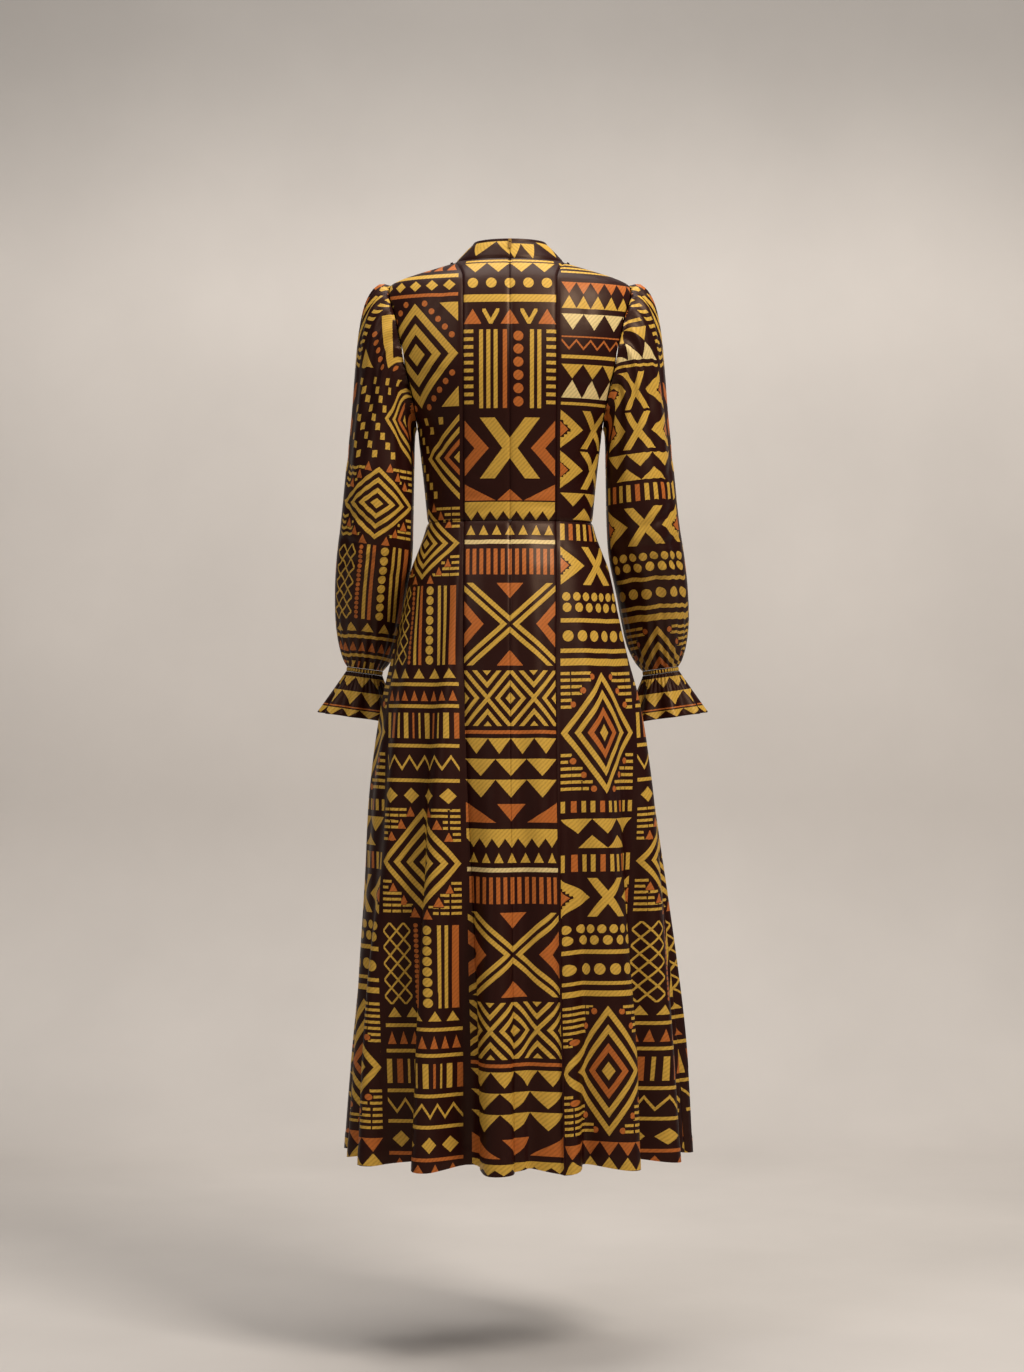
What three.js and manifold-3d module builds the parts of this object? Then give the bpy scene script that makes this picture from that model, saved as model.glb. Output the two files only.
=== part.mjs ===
// Puff sleeve dress, worn and filled out: every cloth piece is a closed wall of its own.
// Millimetres. +Z is up, +X the wearer's left, -Y the front. The origin lies midway between the shoulder seams.

import * as THREE from "three";
import { mergeVertices } from "three/addons/utils/BufferGeometryUtils.js";
import Module from "manifold-3d";

const { lerp, degToRad } = THREE.MathUtils;

// Cloth

const WALL = 2; // thickness of the cloth's wall
const SEAM = 0.3; // gap that two joined pieces keep
const QUARTER = Math.PI / 2;
const CLOTH = new THREE.MeshStandardMaterial({ name: "printed_cloth", color: 0x4a3026, roughness: 0.55 });
const METAL = new THREE.MeshStandardMaterial({ name: "zip_metal", color: 0xb08a45, roughness: 0.3, metalness: 1 });
const TAPE = new THREE.MeshStandardMaterial({ name: "zip_coil", color: 0x2a1c1a, roughness: 0.6 });

// Body of the dress: half widths from the photograph, depths of a general figure

const NECK_Z = 16;
const NECK_HALF = 80;
const NECK_FRONT_DROP = 56;
const TIP_Z = -16;
const UNDERARM_Z = -224;
const WAIST_Z = -360;
const HEM_Z = -1267;
const BODICE = [
  { z: NECK_Z, half: NECK_HALF, back: 62, front: 48, shift: 0 },
  { z: TIP_Z, half: 172, back: 88, front: 68, shift: 0 },
  { z: -70, half: 189, back: 106, front: 92, shift: 0 },
  { z: -136, half: 177, back: 113, front: 113, shift: 0 },
  { z: -191, half: 152, back: 108, front: 126, shift: 0 },
  { z: UNDERARM_Z, half: 134.5, back: 102, front: 123, shift: 0 },
  { z: -242, half: 132, back: 98, front: 119, shift: 0 },
  { z: -303, half: 125, back: 86, front: 103, shift: 0 },
  { z: WAIST_Z, half: 119.5, back: 80, front: 95, shift: 0 },
];
const SKIRT = [
  { z: WAIST_Z, half: 119.5, back: 80, front: 95, shift: 0 },
  { z: -382, half: 126, back: 87, front: 100, shift: 0 },
  { z: -405, half: 134.5, back: 95, front: 105, shift: 0 },
  { z: -429, half: 143.5, back: 103, front: 110, shift: 0 },
  { z: -500, half: 158, back: 117, front: 119, shift: 0 },
  { z: -558, half: 171, back: 125, front: 126, shift: 0 },
  { z: -620, half: 185.5, back: 134, front: 134, shift: -1 },
  { z: -744, half: 204.5, back: 150, front: 149, shift: -2 },
  { z: -866, half: 217, back: 163, front: 162, shift: -4 },
  { z: -987, half: 230, back: 177, front: 175, shift: -5 },
  { z: -1109, half: 241, back: 190, front: 188, shift: -7 },
  { z: HEM_Z, half: 252, back: 205, front: 202, shift: -8 },
];

// Skirt folds: one row for each groove between two rounded folds, its angle round from the centre back
// towards the wearer's left, its depth at the hem and the height where it starts

const GROOVES = [
  { angle: -176, depth: 44, starts: -520 },
  { angle: -152, depth: 40, starts: -600 },
  { angle: -129, depth: 46, starts: -500 },
  { angle: -106, depth: 38, starts: -560 },
  { angle: -82, depth: 32, starts: -620 },
  { angle: -56, depth: 46, starts: -540 },
  { angle: -30, depth: 52, starts: -480 },
  { angle: -5, depth: 36, starts: -560 },
  { angle: 18.5, depth: 52, starts: -480 },
  { angle: 45, depth: 50, starts: -520 },
  { angle: 70, depth: 34, starts: -600 },
  { angle: 95, depth: 36, starts: -560 },
  { angle: 118, depth: 42, starts: -520 },
  { angle: 141, depth: 46, starts: -580 },
  { angle: 163, depth: 42, starts: -540 },
];
const HEM_DIP = 7; // how far a fold's crest hangs below its grooves at the hem
const GROOVE_SHARPNESS = 1.25;

// Seams that run down the dress

const PRINCESS_HALF = 67;
const CENTRE_BACK_COLUMNS = 6;
const SIDE_BACK_COLUMNS = 8;
const BODICE_ROWS = 13;
const FRONT_FADE = 4; // the pull of the front's side edges fades faster, so its columns clear the neck
const FRONT_SHOULDER_COLUMNS = 5;
const FRONT_NECK_COLUMNS = 14;

// Armhole, in the side view

const ARMHOLE = { z: (TIP_Z + UNDERARM_Z) / 2, halfHeight: (TIP_Z - UNDERARM_Z) / 2, back: 60, front: 55 };
const ARMHOLE_OUT = new THREE.Vector3(0.985, 0, -0.175); // the way that the arm leaves it
const ARMHOLE_ROW_SHARE = 0.65;

// Sleeve: a ring for each row, from its outer point to its inner one, with the half depth, the middle's y
// and the height of the gathers. The last row is the wrist.

const SLEEVE = [
  { outX: 186, outZ: -15, inX: 136.2, inZ: -228, depth: 61, y: 0, gather: 2.2 },
  { outX: 198, outZ: -25, inX: 136.9, inZ: -231, depth: 62, y: 0, gather: 2.6 },
  { outX: 208, outZ: -42, inX: 137.2, inZ: -234, depth: 62, y: 0, gather: 2.2 },
  { outX: 215, outZ: -66, inX: 137.4, inZ: -238, depth: 61, y: 0, gather: 1.6 },
  { outX: 220, outZ: -97, inX: 137.6, inZ: -243, depth: 59, y: 1, gather: 1 },
  { outX: 224, outZ: -138, inX: 137.9, inZ: -252, depth: 57, y: 2, gather: 0.4 },
  { outX: 229, outZ: -200, inX: 138.2, inZ: -276, depth: 54, y: 3, gather: 0 },
  { outX: 237, outZ: -280, inX: 139, inZ: -318, depth: 55, y: 3, gather: 0 },
  { outX: 245, outZ: -356, inX: 140, inZ: -366, depth: 56, y: -2, gather: 0 },
  { outX: 252, outZ: -409, inX: 142, inZ: -410, depth: 56, y: -14, gather: 0 },
  { outX: 256, outZ: -458, inX: 150, inZ: -458, depth: 54, y: -38, gather: 0 },
  { outX: 256, outZ: -500, inX: 158, inZ: -502, depth: 50, y: -62, gather: 0.5 },
  { outX: 252, outZ: -532, inX: 166, inZ: -535, depth: 44, y: -79, gather: 1 },
  { outX: 246, outZ: -556, inX: 178, inZ: -560, depth: 36, y: -91, gather: 1 },
  { outX: 241, outZ: -567, inX: 189, inZ: -574, depth: 30, y: -96, gather: 0.6 },
];
const SLEEVE_COLUMNS = 40; // two for each gather
const CAP_TURN = degToRad(110); // the gathers of the sleeve's head lie within this turn of its top
const CAP_COLUMNS = 30;
const RIGHT_WRIST_OUT = 8; // the wearer's right arm hangs a little further out

// Cuff: a gathered elastic band and a flared ruffle

const BAND_HEIGHT = 6.5;
const BAND_RIDGES = 40;
const RIDGE = 0.7;
const RUFFLE_LENGTH = 66;
const RUFFLE_HALF = 60;
const RUFFLE_DEPTH = 50;
const RUFFLE_WAVES = 9;
const RUFFLE_WAVE = 5;
const RUFFLE_ROWS = 3;
const RUFFLE_DRIFT = new THREE.Vector3(-3, -6, 0); // how its rim lies from straight below the band

// Collar and zip

const COLLAR_TOP = { half: 52, depth: 50, y: -2, z: 46, frontDrop: 44 };
const ZIP_END_Z = -545;
const COIL = { width: 6, thickness: 1.6, clear: 0.4 };
const SLIDER = { width: 4.6, height: 8, thickness: 1.2, up: 0.84 };
const BRIDGE = { width: 1.4, height: 5.2, rise: 2.15, bar: 0.7, sunk: 0.2 };
const PULL = { width: 4, length: 13, thickness: 0.8, eye: 3, bar: 0.8, clear: 0.35, above: 0.4 };

// Surfaces

// One column of a table at height z: a cubic through the rows, which run downwards.
function atHeight(rows, column, z) {
  const last = rows.length - 1;
  let i = 0;
  while (i < last - 1 && z < rows[i + 1].z) i += 1;
  const slope = (j) => {
    const above = rows[Math.max(j - 1, 0)];
    const below = rows[Math.min(j + 1, last)];
    return (below[column] - above[column]) / (below.z - above.z);
  };
  const span = rows[i + 1].z - rows[i].z;
  const t = (z - rows[i].z) / span;
  const back = 1 - t;
  return (
    (1 + 2 * t) * back * back * rows[i][column] +
    t * back * back * span * slope(i) +
    t * t * (3 - 2 * t) * rows[i + 1][column] -
    t * t * back * span * slope(i + 1)
  );
}

// A point of an oval section: angle 0 is the centre back, a quarter turn the wearer's left side.
function ovalPoint(rows, angle, z) {
  const depth = atHeight(rows, Math.cos(angle) >= 0 ? "back" : "front", z);
  const x = atHeight(rows, "half", z) * Math.sin(angle) + atHeight(rows, "shift", z);
  return new THREE.Vector3(x, depth * Math.cos(angle), z);
}

const bodicePoint = (angle, z) => ovalPoint(BODICE, angle, z);

// How far into its groove the skirt lies at an angle, from 0 on a fold's crest to 1, and that groove's rows.
function foldAt(angle) {
  const degrees = THREE.MathUtils.radToDeg(angle);
  const turn = THREE.MathUtils.euclideanModulo(degrees - GROOVES[0].angle, 360) + GROOVES[0].angle;
  const found = GROOVES.findLastIndex((groove) => groove.angle <= turn);
  const [low, high] = [GROOVES[found], GROOVES[(found + 1) % GROOVES.length]];
  const width = THREE.MathUtils.euclideanModulo(high.angle - low.angle, 360);
  const share = (turn - low.angle) / width;
  const inGroove = ((1 + Math.cos(2 * Math.PI * share)) / 2) ** GROOVE_SHARPNESS;
  return { inGroove, groove: share < 0.5 ? low : high };
}

function skirtPoint(angle, z) {
  const point = ovalPoint(SKIRT, angle, z);
  const { inGroove, groove } = foldAt(angle);
  const grown = THREE.MathUtils.clamp((groove.starts - z) / (groove.starts - HEM_Z), 0, 1) ** 1.3;
  const middle = atHeight(SKIRT, "shift", z);
  const radius = Math.hypot(point.x - middle, point.y);
  const keep = 1 - (groove.depth * grown * inGroove) / radius;
  point.x = middle + (point.x - middle) * keep;
  point.y *= keep;
  point.z -= HEM_DIP * (1 - inGroove) * grown ** 2;
  return point;
}

// The outward normal of a surface that its angle and height give.
function normalOf(surface, angle, z) {
  const [turn, step] = [degToRad(0.4), 0.5];
  const across = surface(angle + turn, z).sub(surface(angle - turn, z));
  const up = surface(angle, z + step).sub(surface(angle, z - step));
  return up.cross(across).normalize();
}

// Where the ray from the body's axis through a point meets the bodice.
function ontoBodice({ x, y, z }) {
  const depth = atHeight(BODICE, y >= 0 ? "back" : "front", z);
  return { angle: Math.atan2(x / atHeight(BODICE, "half", z), y / depth), z };
}

// Walls

// The closed wall under a grid of outer points, with an inner point for each. Rows run down and columns
// run clockwise as seen from above. A ring is a grid whose last column meets its first.
function wall(outer, inner, ring = false) {
  const rows = outer.length;
  const columns = outer[0].length;
  const position = [...outer.flat(), ...inner.flat()].flatMap((point) => point.toArray());
  const index = [];
  const at = (row, column, side) => side * rows * columns + row * columns + (column % columns);
  const quad = (a, b, c, d) => index.push(a, b, c, a, c, d);
  const spans = ring ? columns : columns - 1;
  for (let row = 0; row < rows - 1; row += 1) {
    for (let column = 0; column < spans; column += 1) {
      const corners = [[row, column], [row + 1, column], [row + 1, column + 1], [row, column + 1]];
      quad(...corners.map(([r, c]) => at(r, c, 0)).reverse());
      quad(...corners.map(([r, c]) => at(r, c, 1)));
    }
  }
  // The rims of two joined pieces are split along the same diagonal, so they stay parallel.
  const firstRim = (from, to) => quad(at(...to, 0), at(...from, 0), at(...from, 1), at(...to, 1));
  const lastRim = (from, to) => quad(at(...from, 0), at(...from, 1), at(...to, 1), at(...to, 0));
  for (let column = 0; column < spans; column += 1) {
    firstRim([0, column], [0, column + 1]);
    lastRim([rows - 1, column + 1], [rows - 1, column]);
  }
  for (let row = 0; row < rows - 1 && !ring; row += 1) {
    firstRim([row + 1, 0], [row, 0]);
    lastRim([row, columns - 1], [row + 1, columns - 1]);
  }
  const geometry = new THREE.BufferGeometry();
  geometry.setAttribute("position", new THREE.Float32BufferAttribute(position, 3));
  geometry.setIndex(index);
  geometry.computeVertexNormals();
  return geometry;
}

function piece(name, geometry, material = CLOTH) {
  const mesh = new THREE.Mesh(geometry, material);
  mesh.name = name;
  return mesh;
}

// Moves a grid's edges in, square to each edge and along the cloth.
function drawInEdges(outer, distance = SEAM / 2) {
  const [lastRow, lastColumn] = [outer.length - 1, outer[0].length - 1];
  const still = outer.map((row) => row.map((point) => point.clone()));
  const clampTo = (value, top) => Math.min(Math.max(value, 0), top);
  const point = (row, column) => still[clampTo(row, lastRow)][clampTo(column, lastColumn)];
  const move = (row, column, alongRow, alongColumn) => {
    const edge = point(row + alongRow, column + alongColumn).clone().sub(point(row - alongRow, column - alongColumn));
    const inRow = alongRow ? 0 : row === 0 ? 1 : -1;
    const inColumn = alongColumn ? 0 : column === 0 ? 1 : -1;
    const inward = point(row + inRow, column + inColumn).clone().sub(still[row][column]);
    inward.addScaledVector(edge, -inward.dot(edge) / edge.lengthSq()).setLength(distance);
    outer[row][column].add(inward);
  };
  for (let column = 0; column <= lastColumn; column += 1) {
    move(0, column, 0, 1);
    move(lastRow, column, 0, 1);
  }
  for (let row = 0; row <= lastRow; row += 1) {
    move(row, 0, 1, 0);
    move(row, lastColumn, 1, 0);
  }
}

// A panel of the body: places are { angle, z } on the surface, in rows that run down.
function panel(name, surface, places) {
  const outer = places.map((row) => row.map(({ angle, z }) => surface(angle, z)));
  drawInEdges(outer);
  const inner = places.map((row, r) =>
    row.map(({ angle, z }, c) => outer[r][c].clone().addScaledVector(normalOf(surface, angle, z), -WALL)),
  );
  return piece(name, wall(outer, inner));
}

const steps = (count) => Array.from({ length: count + 1 }, (_, i) => i / count);

// Places on the bodice between four edges, each a function of its share that gives a point. The columns run
// straight from top to bottom, but for the pull of the two side edges, which fades with the way from them.
function patchPlaces({ top, bottom, start, end }, columns, fade) {
  const straight = (across, down) => top(across).lerp(bottom(across), down);
  const startPull = (down) => start(down).sub(straight(0, down));
  const endPull = (down) => end(down).sub(straight(1, down));
  return steps(BODICE_ROWS).map((down) =>
    steps(columns).map((across) => {
      const point = straight(across, down);
      point.addScaledVector(startPull(down), (1 - across) ** fade);
      point.addScaledVector(endPull(down), across ** fade);
      return ontoBodice(point);
    }),
  );
}

// Seam lines of the bodice

function armholePoint(turn) {
  const z = ARMHOLE.z + ARMHOLE.halfHeight * Math.cos(turn);
  const y = Math.sin(turn) * (Math.sin(turn) >= 0 ? ARMHOLE.back : ARMHOLE.front);
  const x = atHeight(BODICE, "half", z);
  const depth = atHeight(BODICE, y >= 0 ? "back" : "front", z);
  return new THREE.Vector3(x * Math.sqrt(1 - (y / depth) ** 2), y, z);
}

// From the shoulder tip round the armhole and down the side to the waist: way 1 goes by the back, -1 by the front.
const outerEdge = (way) => (down) => {
  if (down <= ARMHOLE_ROW_SHARE) return armholePoint((way * Math.PI * down) / ARMHOLE_ROW_SHARE);
  return bodicePoint(QUARTER, lerp(UNDERARM_Z, WAIST_Z, (down - ARMHOLE_ROW_SHARE) / (1 - ARMHOLE_ROW_SHARE)));
};

function princessAngle(rows, z) {
  const rise = Math.max(0, (z - TIP_Z) / (NECK_Z - TIP_Z));
  const x = lerp(PRINCESS_HALF, NECK_HALF, rise * rise);
  return Math.asin(Math.min(1, x / atHeight(rows, "half", z)));
}

const downTheBack = (down) => lerp(NECK_Z, WAIST_Z, down ** 1.4);
const centreBackEdge = (down) => bodicePoint(0, downTheBack(down));
const princessEdge = (down) => bodicePoint(princessAngle(BODICE, downTheBack(down)), downTheBack(down));
const shoulderEdge = (out) => bodicePoint(QUARTER, lerp(NECK_Z, TIP_Z, out));
const waistEdge = (from, to) => (across) => bodicePoint(lerp(from, to, across), WAIST_Z);
const flipX = (point) => new THREE.Vector3(-point.x, point.y, point.z);

// The neck seam's place at a turn from the centre back: level behind, dropping to the centre front.
function neckPlace(turn) {
  if (Math.cos(turn) >= 0) return { angle: turn, z: NECK_Z };
  const z = NECK_Z - NECK_FRONT_DROP * Math.cos(turn) ** 2;
  const x = NECK_HALF * Math.sin(turn);
  return { angle: Math.PI - Math.asin(x / atHeight(BODICE, "half", z)), z };
}

function neckSeam(turn) {
  const { angle, z } = neckPlace(turn);
  return bodicePoint(angle, z);
}

// Pieces of the bodice

function mirrored(name, mesh) {
  const geometry = mesh.geometry.clone().scale(-1, 1, 1);
  const { array } = geometry.index;
  for (let i = 0; i < array.length; i += 3) [array[i + 1], array[i + 2]] = [array[i + 2], array[i + 1]];
  return piece(name, geometry, mesh.material);
}

function centreBack() {
  const edges = {
    top: (across) => neckSeam(QUARTER * across),
    bottom: waistEdge(0, princessAngle(BODICE, WAIST_Z)),
    start: centreBackEdge,
    end: princessEdge,
  };
  return panel("bodice_centre_back_left", bodicePoint, patchPlaces(edges, CENTRE_BACK_COLUMNS, 1));
}

function sideBack() {
  const edges = {
    top: shoulderEdge,
    bottom: waistEdge(princessAngle(BODICE, WAIST_Z), QUARTER),
    start: princessEdge,
    end: outerEdge(1),
  };
  return panel("bodice_side_back_left", bodicePoint, patchPlaces(edges, SIDE_BACK_COLUMNS, 1));
}

function bodiceFront() {
  const columns = 2 * FRONT_SHOULDER_COLUMNS + FRONT_NECK_COLUMNS;
  const [neckStart, neckEnd] = [FRONT_SHOULDER_COLUMNS / columns, 1 - FRONT_SHOULDER_COLUMNS / columns];
  const top = (across) => {
    if (across < neckStart) return shoulderEdge(1 - across / neckStart);
    if (across > neckEnd) return flipX(shoulderEdge((across - neckEnd) / (1 - neckEnd)));
    return neckSeam(lerp(QUARTER, 3 * QUARTER, (across - neckStart) / (neckEnd - neckStart)));
  };
  const edges = {
    top,
    bottom: waistEdge(QUARTER, 3 * QUARTER),
    start: outerEdge(-1),
    end: (down) => flipX(outerEdge(-1)(down)),
  };
  return panel("bodice_front", bodicePoint, patchPlaces(edges, columns, FRONT_FADE));
}

// Pieces of the skirt

const SKIRT_LEVELS = [WAIST_Z, -382, -405, -432, -480, -540, -620, -720, -830, -940, -1050, -1160, HEM_Z];

function skirtPanel(name, from, to, columns) {
  const places = SKIRT_LEVELS.map((z) => steps(columns).map((across) => ({ angle: lerp(from(z), to(z), across), z })));
  return panel(name, skirtPoint, places);
}

function skirt() {
  const seam = (way) => (z) => way * princessAngle(SKIRT, z);
  const side = (way) => () => way * QUARTER;
  return [
    skirtPanel("skirt_centre_back_left", () => 0, seam(1), 6),
    skirtPanel("skirt_centre_back_right", seam(-1), () => 0, 6),
    skirtPanel("skirt_side_back_left", seam(1), side(1), 22),
    skirtPanel("skirt_side_back_right", side(-1), seam(-1), 22),
    skirtPanel("skirt_front", side(1), side(3), 52),
  ];
}

// Sleeves and cuffs

// A wall through rings that run down the arm. Its inner points lie square to each ring and to the way along,
// which is given at the two ends, where the rims face their neighbours.
function tube(name, rings, wayIn, wayOut) {
  const columns = rings[0].length;
  const last = rings.length - 1;
  const inner = rings.map((ring, r) =>
    ring.map((point, c) => {
      const around = ring[(c + 1) % columns].clone().sub(ring[(c + columns - 1) % columns]);
      let along = r === 0 ? wayIn.clone() : wayOut.clone();
      if (r > 0 && r < last) along = rings[r + 1][c].clone().sub(rings[r - 1][c]);
      return point.clone().addScaledVector(along.cross(around).normalize(), WALL);
    }),
  );
  return piece(name, wall(rings, inner, true));
}

// The turns of a sleeve's columns from its outermost line: closer together over the gathered head.
function sleeveTurns() {
  const under = SLEEVE_COLUMNS - CAP_COLUMNS;
  return Array.from({ length: SLEEVE_COLUMNS }, (_, i) => {
    if (i <= CAP_COLUMNS) return lerp(-CAP_TURN, CAP_TURN, i / CAP_COLUMNS);
    return CAP_TURN + ((i - CAP_COLUMNS) / under) * (2 * Math.PI - 2 * CAP_TURN);
  });
}

function frameOf(row, side) {
  const reach = THREE.MathUtils.smoothstep(-row.outZ, 340, 560);
  const out = side < 0 ? RIGHT_WRIST_OUT * reach : 0;
  const outer = new THREE.Vector3(row.outX + out, row.y, row.outZ);
  const innermost = new THREE.Vector3(row.inX + out, row.y, row.inZ);
  const centre = outer.clone().add(innermost).multiplyScalar(0.5);
  return { centre, reachOut: outer.sub(centre), depth: row.depth, gather: row.gather };
}

function ringPoint({ centre, reachOut, depth }, turn, height = 0) {
  const spoke = reachOut.clone().multiplyScalar(Math.cos(turn));
  spoke.y += depth * Math.sin(turn);
  return centre.clone().add(spoke).add(spoke.clone().setLength(height));
}

// The way down the arm at the wrist, square to the wrist's ring.
const downArm = ({ reachOut }) => new THREE.Vector3(reachOut.z, 0, -reachOut.x).normalize();

function sleeve(side) {
  const turns = sleeveTurns();
  const first = turns.map((turn) => armholePoint(turn).addScaledVector(ARMHOLE_OUT, SEAM));
  const rings = SLEEVE.map((row) => {
    const frame = frameOf(row, side);
    const headOnly = row.outZ > UNDERARM_Z;
    return turns.map((turn, i) => {
      const shown = !headOnly || Math.abs(turn) < CAP_TURN ? 1 : 0;
      return ringPoint(frame, turn, (i % 2 ? 1 : -1) * row.gather * shown);
    });
  });
  rings.unshift(first);
  return tube("sleeve_left", rings, ARMHOLE_OUT, downArm(frameOf(SLEEVE[SLEEVE.length - 1], side)));
}

const roundTurns = (count) => Array.from({ length: count }, (_, i) => (2 * Math.PI * i) / count);

function cuffBand(side) {
  const wrist = frameOf(SLEEVE[SLEEVE.length - 1], side);
  const down = downArm(wrist);
  const rings = [0, 1].map((share) =>
    roundTurns(2 * BAND_RIDGES).map((turn, i) =>
      ringPoint(wrist, turn, (i % 2 ? 1 : -1) * RIDGE).addScaledVector(down, SEAM + BAND_HEIGHT * share),
    ),
  );
  return tube("cuff_band_left", rings, down, down);
}

function cuffRuffle(side) {
  const wrist = frameOf(SLEEVE[SLEEVE.length - 1], side);
  const down = downArm(wrist);
  const start = 2 * SEAM + BAND_HEIGHT;
  const rings = steps(RUFFLE_ROWS).map((share) => {
    const frame = {
      centre: wrist.centre.clone().addScaledVector(down, start + RUFFLE_LENGTH * share).addScaledVector(RUFFLE_DRIFT, share),
      reachOut: wrist.reachOut.clone().setLength(lerp(wrist.reachOut.length(), RUFFLE_HALF, share)),
      depth: lerp(wrist.depth, RUFFLE_DEPTH, share),
    };
    return roundTurns(6 * RUFFLE_WAVES).map((turn) =>
      ringPoint(frame, turn, RUFFLE_WAVE * share * Math.cos(RUFFLE_WAVES * turn)),
    );
  });
  return tube("cuff_ruffle_left", rings, down, down);
}

function arm(side) {
  const pieces = [sleeve(side), cuffBand(side), cuffRuffle(side)];
  return side > 0 ? pieces : pieces.map((mesh) => mirrored(mesh.name.replace("left", "right"), mesh));
}

// Collar and zip

// The collar at a turn from the centre back, at a share of its height.
function collarPoint(turn, share) {
  const seam = neckSeam(turn);
  const front = Math.min(0, Math.cos(turn)) ** 2;
  const top = new THREE.Vector3(
    COLLAR_TOP.half * Math.sin(turn),
    COLLAR_TOP.y + COLLAR_TOP.depth * Math.cos(turn),
    COLLAR_TOP.z - COLLAR_TOP.frontDrop * front,
  );
  return seam.lerp(top, share);
}

// At the neck seam the collar's rim has the bodice's own normal, so the two rims face each other.
function collarNormal(turn, share) {
  const step = 0.01;
  const { angle, z } = neckPlace(turn);
  if (share === 0) return normalOf(bodicePoint, angle, z);
  const across = collarPoint(turn + step, share).sub(collarPoint(turn - step, share));
  const up = collarPoint(turn, share + step).sub(collarPoint(turn, share - step));
  return up.cross(across).normalize();
}

function collar() {
  const back = steps(CENTRE_BACK_COLUMNS).map((share) => QUARTER * share);
  const front = steps(FRONT_NECK_COLUMNS).map((share) => lerp(QUARTER, 3 * QUARTER, share));
  const turns = [...back, ...front.slice(1, -1), ...back.map((turn) => 4 * QUARTER - turn).reverse()];
  const heights = [1, 0.5, 0];
  const outer = heights.map((share) => turns.map((turn) => collarPoint(turn, share)));
  drawInEdges(outer, SEAM);
  const inner = outer.map((row, r) =>
    row.map((point, c) => point.clone().addScaledVector(collarNormal(turns[c], heights[r]), -WALL)),
  );
  return piece("collar", wall(outer, inner));
}

// The zip's coil runs down inside the centre back seam, from the collar's top.
function zipCoil() {
  const skirtLevels = SKIRT_LEVELS.filter((z) => z >= ZIP_END_Z && z < WAIST_Z).reverse();
  const bodiceLevels = steps(BODICE_ROWS).map(downTheBack).reverse();
  const along = (surface) => (z) => ({ point: surface(0, z), normal: normalOf(surface, 0, z) });
  const bottomUp = [...skirtLevels.map(along(skirtPoint)), ...bodiceLevels.map(along(bodicePoint))];
  const [low, top] = [collarPoint(0, 0), collarPoint(0, 1)];
  const lean = new THREE.Vector3(0, top.z - low.z, low.y - top.y).normalize();
  for (const share of [0.2, 0.95]) bottomUp.push({ point: collarPoint(0, share), normal: lean });
  const face = (depth) =>
    bottomUp.toReversed().map(({ point, normal }) =>
      [-1, 1].map((way) => {
        const place = point.clone().addScaledVector(normal, -depth);
        place.x += (way * COIL.width) / 2;
        return place;
      }),
    );
  const clear = WALL + COIL.clear;
  return piece("zip_coil", wall(face(clear), face(clear + COIL.thickness)), TAPE);
}

const wasm = await Module();
wasm.setup();

function solidOf(geometry) {
  const merged = mergeVertices(geometry.clone().deleteAttribute("normal").deleteAttribute("uv"), 1e-4);
  const mesh = { numProp: 3, vertProperties: merged.attributes.position.array, triVerts: merged.index.array };
  return new wasm.Manifold(new wasm.Mesh(mesh));
}

function joined(...geometries) {
  const whole = geometries.map(solidOf).reduce((sum, next) => sum.add(next));
  const mesh = whole.getMesh();
  const geometry = new THREE.BufferGeometry();
  geometry.setAttribute("position", new THREE.Float32BufferAttribute(mesh.vertProperties, 3));
  geometry.setIndex([...mesh.triVerts]);
  geometry.computeVertexNormals();
  return geometry;
}

// In the zip's own frame z runs up the seam, y out of the cloth and 0 is the slider's middle on its face.
function zipSlider() {
  const plate = new THREE.BoxGeometry(SLIDER.width, SLIDER.thickness, SLIDER.height);
  plate.translate(0, SEAM + SLIDER.thickness / 2, 0);
  const face = SEAM + SLIDER.thickness;
  const [foot, top] = [face - BRIDGE.sunk, face + BRIDGE.rise];
  const end = BRIDGE.height / 2;
  const arch = new THREE.Shape();
  arch.moveTo(-end, foot);
  arch.lineTo(end, foot);
  arch.lineTo(end - BRIDGE.bar, top);
  arch.lineTo(-end + BRIDGE.bar, top);
  arch.closePath();
  const hole = new THREE.Path();
  hole.moveTo(-end + BRIDGE.bar, face + 0.05);
  hole.lineTo(-end + 1.8 * BRIDGE.bar, top - BRIDGE.bar);
  hole.lineTo(end - 1.8 * BRIDGE.bar, top - BRIDGE.bar);
  hole.lineTo(end - BRIDGE.bar, face + 0.05);
  hole.closePath();
  arch.holes.push(hole);
  const bridge = new THREE.ExtrudeGeometry(arch, { depth: BRIDGE.width, bevelEnabled: false });
  bridge.translate(0, 0, -BRIDGE.width / 2);
  bridge.applyMatrix4(new THREE.Matrix4().makeBasis(
    new THREE.Vector3(0, 0, 1),
    new THREE.Vector3(0, 1, 0),
    new THREE.Vector3(-1, 0, 0),
  ));
  return piece("zip_slider", joined(plate, bridge), METAL);
}

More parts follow.
